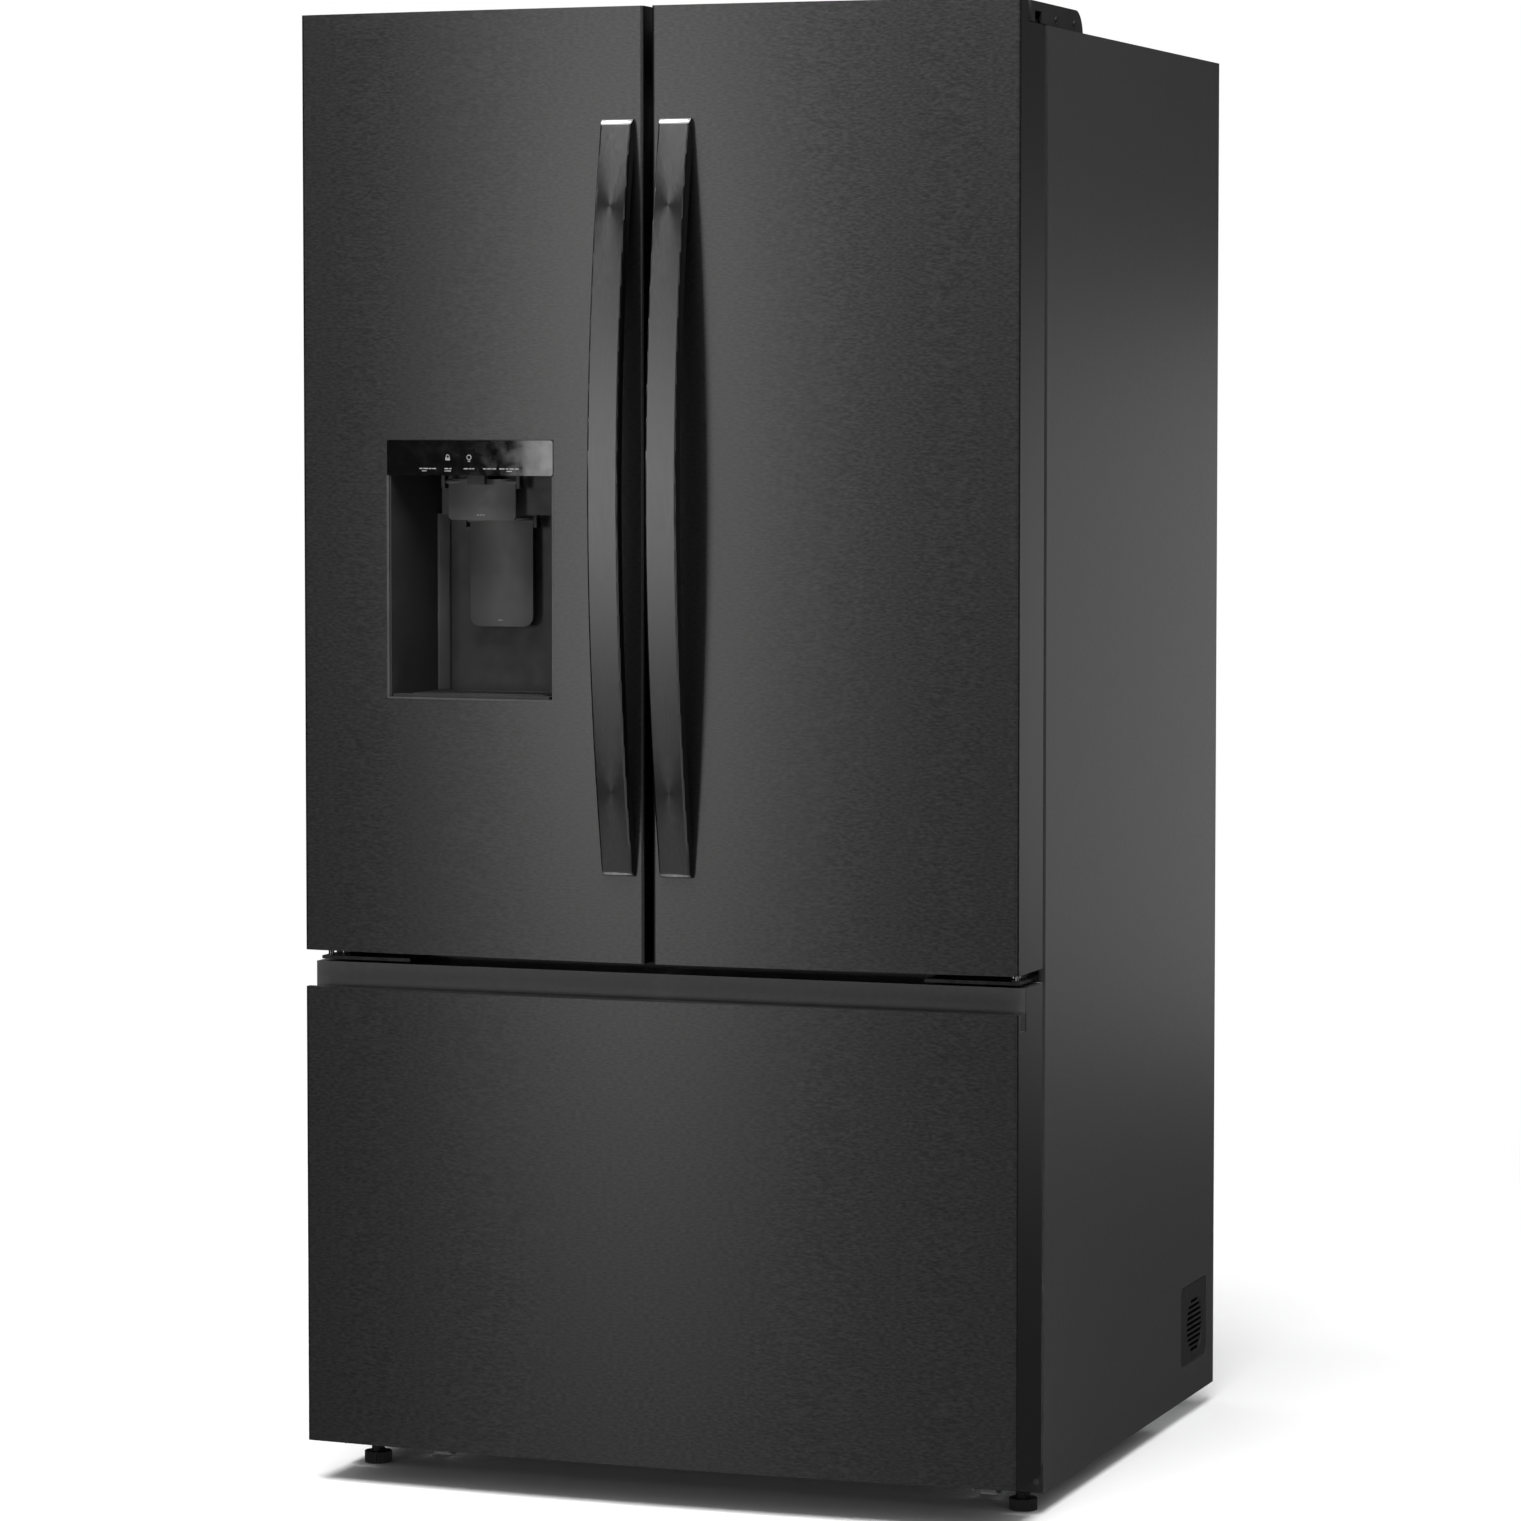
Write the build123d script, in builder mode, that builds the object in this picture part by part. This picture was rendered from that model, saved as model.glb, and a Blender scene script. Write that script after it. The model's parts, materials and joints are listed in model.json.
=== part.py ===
from build123d import *
from math import sqrt
import os

# French door refrigerator with a freezer drawer and an ice and water dispenser.
# Frame: millimetres, +Z up, the doors face -Y and +X is to the right of a person facing them.
# Origin: middle of the footprint, on the floor.

os.makedirs("parts", exist_ok=True)

# ---------------------------------------------------------------- driving dimensions
WIDTH = 905.0
HEIGHT = 1781.0
HALF = WIDTH / 2
BACK = 476.0  # rear face of the cabinet
FRONT = -405.0  # side edges of the door faces; every depth below is counted back from here
BOW = 15.4  # how far the faces bulge forward at mid width
BOW_RADIUS = (HALF**2 + BOW**2) / (2 * BOW)
SHEET = 1.0
LINER = 2.0

CASE_DEPTH = 110.0  # depth at which the cabinet starts
CASE_BOTTOM = 25.0
CASE_TOP = 1755.0
FOAM_BOTTOM = 60.0

DOOR_BOTTOM = 652.0
DOOR_GAP = 10.0
DOOR_FOLD = 4.0  # radius of the folded vertical edges
FOAM_DEPTH = 96.0  # back of a door's foam
PANEL_DEPTH = 98.5  # back of a door's inner liner
LIP_DEPTH = 30.0  # full height lip along the top front of a door
CAP_BOTTOM = 14.0
CAP_TOP = 12.0
GASKET_DEPTH = 109.5
GASKET_WIDTH = 16.0
RIM_DEPTH = 128.0
RIM_WIDTH = 20.0

HINGE_X = 430.0
HINGE_DEPTH = 70.0
HINGE_PIN = 6.0
RUNNING = 0.06  # radial clearance of a shaft in its bore

FRIDGE_X = (-400.0, 400.0)
FRIDGE_Z = (700.0, 1700.0)
FREEZER_Z = (100.0, 598.0)
CAVITY_BACK = 425.0
STEP_BACK = 190.0  # freezer floor ends here, in front of the machine compartment
STEP_TOP = 346.0
MACHINE_FRONT = 242.0
MACHINE_TOP = 300.0

DRAWER_BOTTOM = 50.0
DRAWER_LIP = 607.0
DRAWER_TOP = 635.0
BAND_DEPTH = 33.0  # recessed band behind the drawer's lip
LIP_BACK = 12.0
CHANNEL_FLOOR = 585.0
SLIDE_Z = (430.0, 470.0)
SLIDE_Y = (-285.0, 185.0)

HANDLE_X = 36.5
HANDLE_WIDTH = 39.0
HANDLE_Z = (756.0, 1648.0)
HANDLE_FACE = -476.0
HANDLE_THICK = 14.0
HANDLE_FOOT = 34.0
HANDLE_END_PROUD = 10.0
HANDLE_CHAMFER = 6.0

NICHE_X = (-335.5, -123.5)
NICHE_Z = (963.0, 1229.0)
NICHE_DEPTH = 100.0
NICHE_DRAFT = 26.0
NICHE_WALL = 2.0
NICHE_CENTRE = -228.0
CONTROL_X = (-338.7, -121.3)
CONTROL_Z = (1229.0, 1271.0)
BULGE_X = (-365.0, -95.0)
BULGE_Z = (930.0, 1290.0)
BULGE_DEPTH = 138.0
HEAD_BOTTOM = 1181.0
WATER_PIVOT = (24.0, 1221.0)  # depth, height
ICE_PIVOT = (84.0, 1173.0)
PADDLE_PIN = 3.0

FLAP_X = -25.0
FLAP_PIVOT_DEPTH = 118.0
FLAP_RADIUS = 7.8
FLAP_LENGTH = 58.0
FLAP_Z = (712.0, 1688.0)

ROLLER_RADIUS = 20.0
ROLLER_WIDTH = 22.0
ROLLER_PIN = 4.0
FRONT_ROLLER = (357.0, -200.0)
REAR_ROLLER = (400.0, 440.0)
LEG = (419.0, -269.0)
LEG_STEM = 5.0

SHELF_LEVELS = (1110.0, 1270.0, 1450.0)
SHELF_FRONT = -175.0
SHELF_BACK = 385.0
BIN_LEVELS = (975.0, 1200.0, 1425.0)
BIN_DEPTH = 215.0
CRISPER_Z = (712.0, 930.0)
CRISPER_Y = (-115.0, 375.0)
VENT_Y = (316.0, 438.0)
VENT_Z = (70.0, 172.0)
VENT_CENTRE = (382.0, 116.5)
FAN_X = -102.0
FAN_CENTRE = (355.0, 150.0)
FAN_RADIUS = 74.0
COMPRESSOR = (-265.0, 355.0)
VALVE = (-400.0, 130.0)
GLAND = (-300.0, 80.0)

TURN = {"x": (0, 90, 0), "y": (90, 0, 0), "z": (0, 0, 0)}


# ---------------------------------------------------------------- helpers
def at(depth):
    """Y at a depth behind the side edges of the door faces."""
    return FRONT + depth


def bow(x, inset=0.0):
    """Y of the bowed face at x; inset moves it back into the door."""
    centre_y = FRONT - BOW + BOW_RADIUS
    return centre_y - sqrt((BOW_RADIUS - inset) ** 2 - x**2)


def mirrored(x):
    """The same X limits on the other side of the middle."""
    return (-x[1], -x[0])


def both(x):
    """X limits on the right and on the left."""
    return (x, mirrored(x))


def on_side(side, x):
    """X limits on the right for 1 and on the left for -1."""
    return x if side > 0 else mirrored(x)


def block(x, y, z, mode=Mode.ADD):
    """Box between two limits on each axis."""
    with Locations(((x[0] + x[1]) / 2, (y[0] + y[1]) / 2, (z[0] + z[1]) / 2)):
        Box(x[1] - x[0], y[1] - y[0], z[1] - z[0], mode=mode)


def rod(axis, radius, span, centre, mode=Mode.ADD):
    """Cylinder along an axis: span holds its two ends, centre the other two coordinates in order."""
    middle = (span[0] + span[1]) / 2
    places = {"x": (middle, *centre), "y": (centre[0], middle, centre[1]), "z": (*centre, middle)}
    with Locations(Location(places[axis], TURN[axis])):
        Cylinder(radius, span[1] - span[0], mode=mode)


def ring(x, y, z, width, mode=Mode.ADD):
    """Rectangular ring that faces the front, with bars of one width."""
    size = (x[1] - x[0], z[1] - z[0])
    with BuildSketch(Plane.XZ.offset(-y[0])) as section:
        with Locations(((x[0] + x[1]) / 2, (z[0] + z[1]) / 2)):
            Rectangle(*size)
            Rectangle(size[0] - 2 * width, size[1] - 2 * width, mode=Mode.SUBTRACT)
    extrude(section.sketch, amount=y[1] - y[0], dir=(0, 1, 0), mode=mode)


def tray(x, y, z, wall):
    """Bin with an open top."""
    block(x, y, z)
    inside_x = (x[0] + wall, x[1] - wall)
    inside_y = (y[0] + wall, y[1] - wall)
    block(inside_x, inside_y, (z[0] + wall, z[1] + wall), Mode.SUBTRACT)


def panel_section(x, back, z, inset=0.0, corner=0.0):
    """Plan section of a panel with the bowed face in front and a flat back, at height z."""
    middle = (x[0] + x[1]) / 2
    left = (x[0], bow(x[0], inset))
    right = (x[1], bow(x[1], inset))
    with BuildSketch(Plane.XY.offset(z)) as section:
        with BuildLine():
            ThreePointArc(left, (middle, bow(middle, inset)), right)
            Polyline(right, (x[1], back), (x[0], back), left)
        make_face()
        if corner:
            fillet(section.vertices().filter_by(lambda v: v.Y < back - 1), corner)
    return section.sketch


def panel(x, back, z, inset=0.0, corner=0.0, mode=Mode.ADD):
    """Bowed panel between two heights."""
    extrude(panel_section(x, back, z[0], inset, corner), amount=z[1] - z[0], mode=mode)


def inside_skin(x):
    return (x[0] + SHEET, x[1] - SHEET)


def serpentine(start, run, pitch, rows, radius, level):
    """Tube that runs to and fro along X while it climbs along Z, at one Y."""
    points = []
    for row in range(rows):
        z = start[1] + row * pitch
        ends = (start[0], start[0] + run)
        if row % 2:
            ends = (ends[1], ends[0])
        points += [(ends[0], level, z), (ends[1], level, z)]
    with BuildLine() as path:
        FilletPolyline(*points, radius=pitch * 0.42)
    with BuildSketch(Plane(origin=path.line @ 0, z_dir=path.line % 0)) as section:
        Circle(radius)
    sweep(section.sketch, path=path.line)


def save(piece, name):
    piece.part.label = name
    export_step(piece.part, f"parts/{name}.step")


# ---------------------------------------------------------------- cabinet shell
CASE_FRONT = at(CASE_DEPTH)
CASE_X = (-HALF, HALF)
FOAM_X = (-HALF + SHEET, HALF - SHEET)
FLANGE = SHEET  # thickness of the frame that faces the doors

with BuildPart() as outer_wrapper:
    block(CASE_X, (CASE_FRONT, BACK - SHEET), (CASE_BOTTOM, CASE_TOP))
    block(FOAM_X, (CASE_FRONT + FLANGE, BACK), (0, CASE_TOP - SHEET), Mode.SUBTRACT)
    block(FRIDGE_X, (CASE_FRONT - 1, CASE_FRONT + 5), FRIDGE_Z, Mode.SUBTRACT)
    block(FRIDGE_X, (CASE_FRONT - 1, CASE_FRONT + 5), FREEZER_Z, Mode.SUBTRACT)
    block(FOAM_X, (CASE_FRONT - 1, CASE_FRONT + 5), (0, FOAM_BOTTOM), Mode.SUBTRACT)
    with BuildSketch(Plane.YZ.offset(HALF - 10)) as vent_hole:
        with Locations(((VENT_Y[0] + VENT_Y[1]) / 2, (VENT_Z[0] + VENT_Z[1]) / 2)):
            RectangleRounded(VENT_Y[1] - VENT_Y[0] + 2, VENT_Z[1] - VENT_Z[0] + 2, 11)
    extrude(amount=20, mode=Mode.SUBTRACT)
save(outer_wrapper, "outer_wrapper")

with BuildPart() as back_panel:
    block(FOAM_X, (BACK - SHEET, BACK), (MACHINE_TOP + 1, CASE_TOP - SHEET))
save(back_panel, "back_panel")


def cavity(clearance, z, back, low_back=None, low_top=None):
    """Space for a liner, grown by a clearance; the floor may stop short under a step."""
    x = (FRIDGE_X[0] - clearance, FRIDGE_X[1] + clearance)
    front = CASE_FRONT - 5
    grown_z = (z[0] - clearance, z[1] + clearance)
    with BuildPart() as space:
        block(x, (front, back + clearance), grown_z)
        if low_back:
            keep_out = (low_back + clearance, back + clearance + 1)
            block((x[0] - 1, x[1] + 1), keep_out, (grown_z[0] - 1, low_top - clearance), Mode.SUBTRACT)
    return space.part


def fridge_space(clearance):
    return cavity(clearance, FRIDGE_Z, CAVITY_BACK)


def freezer_space(clearance):
    return cavity(clearance, FREEZER_Z, CAVITY_BACK, STEP_BACK, STEP_TOP)


with BuildPart() as cabinet_foam:
    block(FOAM_X, (CASE_FRONT + FLANGE, BACK - SHEET), (FOAM_BOTTOM, CASE_TOP - SHEET))
    add(fridge_space(LINER), mode=Mode.SUBTRACT)
    add(freezer_space(LINER), mode=Mode.SUBTRACT)
    block((-HALF, HALF), (MACHINE_FRONT, BACK + 1), (0, MACHINE_TOP), Mode.SUBTRACT)
save(cabinet_foam, "cabinet_foam")

with BuildPart() as fridge_liner:
    add(fridge_space(LINER))
    add(fridge_space(0), mode=Mode.SUBTRACT)
    block(CASE_X, (CASE_FRONT - 20, CASE_FRONT + FLANGE), (0, HEIGHT), Mode.SUBTRACT)
save(fridge_liner, "fridge_liner")

with BuildPart() as freezer_liner:
    add(freezer_space(LINER))
    add(freezer_space(0), mode=Mode.SUBTRACT)
    block(CASE_X, (CASE_FRONT - 20, CASE_FRONT + FLANGE), (0, HEIGHT), Mode.SUBTRACT)
save(freezer_liner, "freezer_liner")

# ---------------------------------------------------------------- base, rollers and legs
BEAM_BACK = -232.0
PLATE = 2.0

with BuildPart() as base_frame:
    block(FOAM_X, (CASE_FRONT + FLANGE, MACHINE_FRONT - 1), (FOAM_BOTTOM - PLATE, FOAM_BOTTOM))
    block(FOAM_X, (CASE_FRONT, CASE_FRONT + PLATE), (CASE_BOTTOM + 1, FOAM_BOTTOM))
    block(FOAM_X, (BEAM_BACK - PLATE, BEAM_BACK), (CASE_BOTTOM + 1, FOAM_BOTTOM))
    for flange in both((FOAM_X[1] - PLATE, FOAM_X[1])):
        block(flange, (CASE_FRONT, MACHINE_FRONT - 1), (CASE_BOTTOM + 1, FOAM_BOTTOM))
    for side in (-1, 1):
        rod("z", LEG_STEM + RUNNING, (0, FOAM_BOTTOM + 1), (side * LEG[0], LEG[1]), Mode.SUBTRACT)
save(base_frame, "base_frame")

CHEEK = (12.0, 14.5)  # distance of a bracket's cheek from the middle of its roller

with BuildPart() as roller_brackets:
    for side in (-1, 1):
        middle = side * FRONT_ROLLER[0]
        block((middle - 27, middle + 27), (-228, -165), (FOAM_BOTTOM - PLATE - 3, FOAM_BOTTOM - PLATE))
        for cheek in (CHEEK, mirrored(CHEEK)):
            block((middle + cheek[0], middle + cheek[1]), (-228, -172), (9, FOAM_BOTTOM - PLATE))
        rod("x", ROLLER_PIN, (middle - 16, middle + 16), (FRONT_ROLLER[1], ROLLER_RADIUS))
save(roller_brackets, "roller_brackets")


def roller(x, y):
    """Solid roller on the X axis at one place."""
    rod("x", ROLLER_RADIUS, (x - ROLLER_WIDTH / 2, x + ROLLER_WIDTH / 2), (y, ROLLER_RADIUS))


for side, name in ((-1, "front_left_roller"), (1, "front_right_roller")):
    with BuildPart() as front_roller:
        roller(side * FRONT_ROLLER[0], FRONT_ROLLER[1])
        rims = front_roller.edges().filter_by(GeomType.CIRCLE)
        chamfer(rims, 1.5)
        width = (side * FRONT_ROLLER[0] - 20, side * FRONT_ROLLER[0] + 20)
        rod("x", ROLLER_PIN + RUNNING, width, (FRONT_ROLLER[1], ROLLER_RADIUS), Mode.SUBTRACT)
    save(front_roller, name)

with BuildPart() as rear_rollers:
    for side in (-1, 1):
        roller(side * REAR_ROLLER[0], REAR_ROLLER[1])
    chamfer(rear_rollers.edges().filter_by(GeomType.CIRCLE), 1.5)
    rod("x", ROLLER_PIN, (-REAR_ROLLER[0] - 14, REAR_ROLLER[0] + 14), (REAR_ROLLER[1], ROLLER_RADIUS))
save(rear_rollers, "rear_rollers")

FOOT_RADIUS = 17.0
FOOT_HEIGHT = 14.0
KNURLS = 20

for side, name in ((-1, "left_leg"), (1, "right_leg")):
    with BuildPart() as leg:
        centre = (side * LEG[0], LEG[1])
        rod("z", FOOT_RADIUS, (0, FOOT_HEIGHT), centre)
        with Locations((*centre, FOOT_HEIGHT / 2 + 2)):
            with PolarLocations(FOOT_RADIUS + 0.6, KNURLS):
                Cylinder(1.6, FOOT_HEIGHT, mode=Mode.SUBTRACT)
        with BuildSketch(Plane.XY.offset(FOOT_HEIGHT)) as hexagon:
            with Locations(centre):
                RegularPolygon(9, 6)
        extrude(amount=7)
        rod("z", LEG_STEM, (FOOT_HEIGHT, FOAM_BOTTOM - 1), centre)
    save(leg, name)

# ---------------------------------------------------------------- machine compartment
EAR_X = (380.0, 384.0)
GUSSET = (HALF - SHEET - 2.2, HALF - SHEET - 0.2)

with BuildPart() as machine_base:
    block((-GUSSET[1], GUSSET[1]), (MACHINE_FRONT + 2, 470), (26, 29))
    for gusset in both(GUSSET):
        block(gusset, (MACHINE_FRONT + 2, BACK - 3), (26, MACHINE_TOP - 1))
    block((GUSSET[0] - 4, GUSSET[1] + 4), VENT_Y, VENT_Z, Mode.SUBTRACT)
    for ear in both(EAR_X):
        block(ear, (425, 455), (8, 27))
    for pit in both((REAR_ROLLER[0] - 14, REAR_ROLLER[0] + 14)):
        block(pit, (REAR_ROLLER[1] - 24, 471), (25, 30), Mode.SUBTRACT)
    rod("x", ROLLER_PIN + RUNNING, (-410, 410), (REAR_ROLLER[1], ROLLER_RADIUS), Mode.SUBTRACT)
save(machine_base, "machine_base")

FEET_X = 75.0
FEET_Y = 50.0

with BuildPart() as compressor:
    rod("z", 80, (48, 212), COMPRESSOR)
    fillet(compressor.edges().filter_by(GeomType.CIRCLE).sort_by(Axis.Z)[-1], 40)
    foot_x = (COMPRESSOR[0] - 92, COMPRESSOR[0] + 92)
    block(foot_x, (COMPRESSOR[1] - 64, COMPRESSOR[1] + 64), (44.5, 49))
    with Locations((*COMPRESSOR, 46)):
        with GridLocations(2 * FEET_X, 2 * FEET_Y, 2, 2):
            Cylinder(5.2, 20, mode=Mode.SUBTRACT)
    block((COMPRESSOR[0] + 70, COMPRESSOR[0] + 98), (COMPRESSOR[1] - 25, COMPRESSOR[1] + 25), (90, 150))
save(compressor, "compressor")

with BuildPart() as compressor_mounts:
    with Locations((*COMPRESSOR, (29 + 44.5) / 2)):
        with GridLocations(2 * FEET_X, 2 * FEET_Y, 2, 2):
            Cylinder(11, 15.5)
    with Locations((*COMPRESSOR, 47)):
        with GridLocations(2 * FEET_X, 2 * FEET_Y, 2, 2):
            Cylinder(5.0, 12)
save(compressor_mounts, "compressor_mounts")

CONDENSER_X = (-40.0, 190.0)

with BuildPart() as condenser_coil:
    for level in (300, 345, 390, 435):
        serpentine((CONDENSER_X[0], 55), CONDENSER_X[1] - CONDENSER_X[0], 25, 9, 3, level)
    for stay in (20, 130):
        block((stay, stay + 2), (288, 447), (30, 265))
save(condenser_coil, "condenser_coil")

MOTOR_X = (-152.0, -124.0)

with BuildPart() as fan_shroud:
    block((-122, -118), (258, 452), (30, 272))
    rod("x", FAN_RADIUS + 5, (-130, -110), FAN_CENTRE, Mode.SUBTRACT)
    rod("x", 22, MOTOR_X, FAN_CENTRE)
    for strut in (FAN_CENTRE[0] - 4, FAN_CENTRE[0] + 4):
        block((-128, -120), (strut - 3, strut + 3), (40, 262))
    rod("x", 3, (-124, FAN_X + 4), FAN_CENTRE)
save(fan_shroud, "fan_shroud")

BLADES = 5

with BuildPart() as condenser_fan:
    rod("x", 18, (FAN_X - 14, FAN_X + 10), FAN_CENTRE)
    fan_plane = Plane(origin=(FAN_X, *FAN_CENTRE), x_dir=(0, 1, 0), z_dir=(1, 0, 0))
    with Locations(fan_plane):
        with PolarLocations((18 + FAN_RADIUS) / 2 - 1, BLADES):
            Box(FAN_RADIUS - 16, 38, 2.4, rotation=(28, 0, 0))
    rod("x", 3 + RUNNING, (FAN_X - 20, FAN_X + 5), FAN_CENTRE, Mode.SUBTRACT)
save(condenser_fan, "condenser_fan")

with BuildPart() as drain_pan:
    tray((215, 378), (262, 448), (30, 74), 2.5)
save(drain_pan, "drain_pan")

COVER_X = (-350.0, 447.0)

with BuildPart() as rear_cover:
    block(COVER_X, (BACK - 2, BACK), (32, MACHINE_TOP - 1))
    with BuildSketch(Plane.XZ.offset(-BACK - 1)) as louvres:
        with Locations((60, 165)):
            with GridLocations(180, 18, 4, 11):
                SlotOverall(130, 7)
        with Locations(GLAND):
            Circle(12)
    extrude(amount=10, mode=Mode.SUBTRACT)
save(rear_cover, "rear_cover")

VENT_RADIUS = 36.0
VENT_SLOTS = 10
VENT_PITCH = 7.0

with BuildPart() as side_vent:
    with BuildSketch(Plane.YZ.offset(HALF - 2.0)) as vent_plate:
        with Locations(((VENT_Y[0] + VENT_Y[1]) / 2, (VENT_Z[0] + VENT_Z[1]) / 2)):
            RectangleRounded(VENT_Y[1] - VENT_Y[0], VENT_Z[1] - VENT_Z[0], 10)
        for slot in range(VENT_SLOTS):
            rise = (slot - (VENT_SLOTS - 1) / 2) * VENT_PITCH
            with Locations((VENT_CENTRE[0], VENT_CENTRE[1] + rise)):
                SlotOverall(2 * sqrt(VENT_RADIUS**2 - rise**2), 4.2, mode=Mode.SUBTRACT)
    extrude(amount=1.7)
    with BuildSketch(Plane.YZ.offset(HALF - 0.8)) as dish:
        with Locations(VENT_CENTRE):
            Circle(VENT_RADIUS + 3)
    extrude(amount=2, mode=Mode.SUBTRACT)
save(side_vent, "side_vent")

PORT_RADIUS = 5.2
PORT_LENGTH = 12.0
VALVE_PLATE_Z = (29.0, VALVE[1] + 60)

with BuildPart() as water_valve:
    block((VALVE[0] - 26, VALVE[0] + 26), (BACK - PORT_LENGTH - 2, BACK - PORT_LENGTH), VALVE_PLATE_Z)
    block((VALVE[0] - 18, VALVE[0] + 18), (BACK - 54, BACK - 13), (VALVE[1] - 22, VALVE[1] + 22))
    for coil in (-1, 1):
        rod("z", 12, (VALVE[1] + 20, VALVE[1] + 56), (VALVE[0] + coil * 14, BACK - 38))
    rod("y", PORT_RADIUS, (BACK - PORT_LENGTH, BACK), VALVE)
save(water_valve, "water_valve")

CORD_RADIUS = 5.5

with BuildPart() as cord_gland:
    rod("y", 11.9, (BACK - 12, BACK), GLAND)
    rod("y", 15, (BACK - 6, BACK - 2.1), GLAND)
    rod("y", CORD_RADIUS, (BACK - 20, BACK + 1), GLAND, Mode.SUBTRACT)
save(cord_gland, "cord_gland")

# ---------------------------------------------------------------- cold air side
with BuildPart() as evaporator_coil:
    for level in (396, 414):
        serpentine((-270, 362), 540, 22, 5, 4, level)
    for fin in range(25):
        x = -252 + fin * 21
        block((x - 0.5, x + 0.5), (388, 422), (352, 460))
save(evaporator_coil, "evaporator_coil")

with BuildPart() as air_covers:
    block((-398, 398), (380, 383), (STEP_TOP + 2, FREEZER_Z[1] - 2))
    with BuildSketch(Plane.XZ.offset(-379)) as cover_slots:
        with Locations((0, 385)):
            with GridLocations(150, 18, 5, 3):
                SlotOverall(110, 7)
        with Locations((0, 535)):
            with PolarLocations(34, 8):
                SlotOverall(30, 9)
    extrude(amount=10, dir=(0, 1, 0), mode=Mode.SUBTRACT)
    duct_z = (960.0, 1690.0)
    block((-60, 60), (403, CAVITY_BACK - 0.2), duct_z)
    block((-57.5, 57.5), (405.5, CAVITY_BACK + 1), (duct_z[0] + 3, duct_z[1] - 3), Mode.SUBTRACT)
    with BuildSketch(Plane.XZ.offset(-400)) as duct_slots:
        with Locations((0, 1330)):
            with GridLocations(60, 150, 2, 5):
                SlotOverall(44, 8)
    extrude(amount=5.6, dir=(0, 1, 0), mode=Mode.SUBTRACT)
save(air_covers, "air_covers")

# ---------------------------------------------------------------- shelves and crispers
ARM_X = ((74.0, 78.0), (384.0, 388.0))
TRACK_WIDTH = 12.0

with BuildPart() as shelf_supports:
    for arm in ARM_X:
        middle = (arm[0] + arm[1]) / 2
        for track in both((middle - TRACK_WIDTH / 2, middle + TRACK_WIDTH / 2)):
            block(track, (421, CAVITY_BACK), (990, 1680))
        for level in SHELF_LEVELS:
            for bar in both(arm):
                block(bar, (SHELF_FRONT + 6, 421.5), (level - 12, level - 0.1))
save(shelf_supports, "shelf_supports")

GLASS = 5.0
SHELF_X = (5.0, 395.0)

with BuildPart() as glass_shelves:
    for level in SHELF_LEVELS:
        for pane in both(SHELF_X):
            block(pane, (SHELF_FRONT, SHELF_BACK), (level, level + GLASS))
    fillet(glass_shelves.edges().filter_by(Axis.Z), 6)
save(glass_shelves, "glass_shelves")

CRISPER_X = (9.0, 383.0)
COVER_Z = 944.0

with BuildPart() as crisper_cover:
    block((-398, 398), (CRISPER_Y[0] - 15, 395), (COVER_Z, COVER_Z + 10))
    block((-5, 5), (CRISPER_Y[0] - 5, 390), (FRIDGE_Z[0] + 0.2, COVER_Z))
    for rail in both((12, 380)):
        block(rail, (CRISPER_Y[0] - 5, 390), (FRIDGE_Z[0] + 0.2, CRISPER_Z[0] - 4))
save(crisper_cover, "crisper_cover")

for x, name in ((mirrored(CRISPER_X), "left_crisper"), (CRISPER_X, "right_crisper")):
    with BuildPart() as crisper:
        tray(x, CRISPER_Y, CRISPER_Z, 3)
        pull_x = ((x[0] + x[1]) / 2 - 70, (x[0] + x[1]) / 2 + 70)
        block(pull_x, (CRISPER_Y[0] - 12, CRISPER_Y[0] + 1), (CRISPER_Z[1] - 30, CRISPER_Z[1] - 24))
        block(pull_x, (CRISPER_Y[0] - 12, CRISPER_Y[0] - 9), (CRISPER_Z[1] - 42, CRISPER_Z[1] - 24))
    save(crisper, name)

# ---------------------------------------------------------------- hinges
COVER_HALF = (352.0, 450.0)
COVER_BACK = 261.0
HINGE_COVER_TOP = HEIGHT

with BuildPart() as hinge_covers:
    for x in both(COVER_HALF):
        with BuildSketch(Plane.YZ.offset(x[0])) as cover_side:
            with BuildLine():
                Polyline(
                    (at(50), HINGE_COVER_TOP),
                    (at(50), CASE_TOP + 1.5),
                    (at(CASE_DEPTH + 2), CASE_TOP + 1.5),
                    (at(CASE_DEPTH + 2), CASE_TOP),
                    (at(COVER_BACK), CASE_TOP),
                )
                SagittaArc((at(COVER_BACK), CASE_TOP), (at(233), HINGE_COVER_TOP), -7)
                Line((at(233), HINGE_COVER_TOP), (at(50), HINGE_COVER_TOP))
            make_face()
        extrude(amount=x[1] - x[0])
        hollow_x = (x[0] + 2.5, x[1] - 2.5)
        block(hollow_x, (at(54), at(230)), (CASE_TOP - 1, HEIGHT - 2.5), Mode.SUBTRACT)
    for slot in both((COVER_HALF[1] - 5, COVER_HALF[1] + 1)):
        block(slot, (at(65), at(92)), (CASE_TOP, CASE_TOP + 15), Mode.SUBTRACT)
save(hinge_covers, "hinge_covers")

TOP_PLATE = (CASE_TOP + 2.0, CASE_TOP + 6.0)
CENTRE_PLATE = (638.0, 642.0)
CENTRE_PLATE_X = (328.0, 445.0)
CENTRE_PLATE_FRONT = 32.0
STOP_SCREW = (438.0, 44.0)

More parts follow.
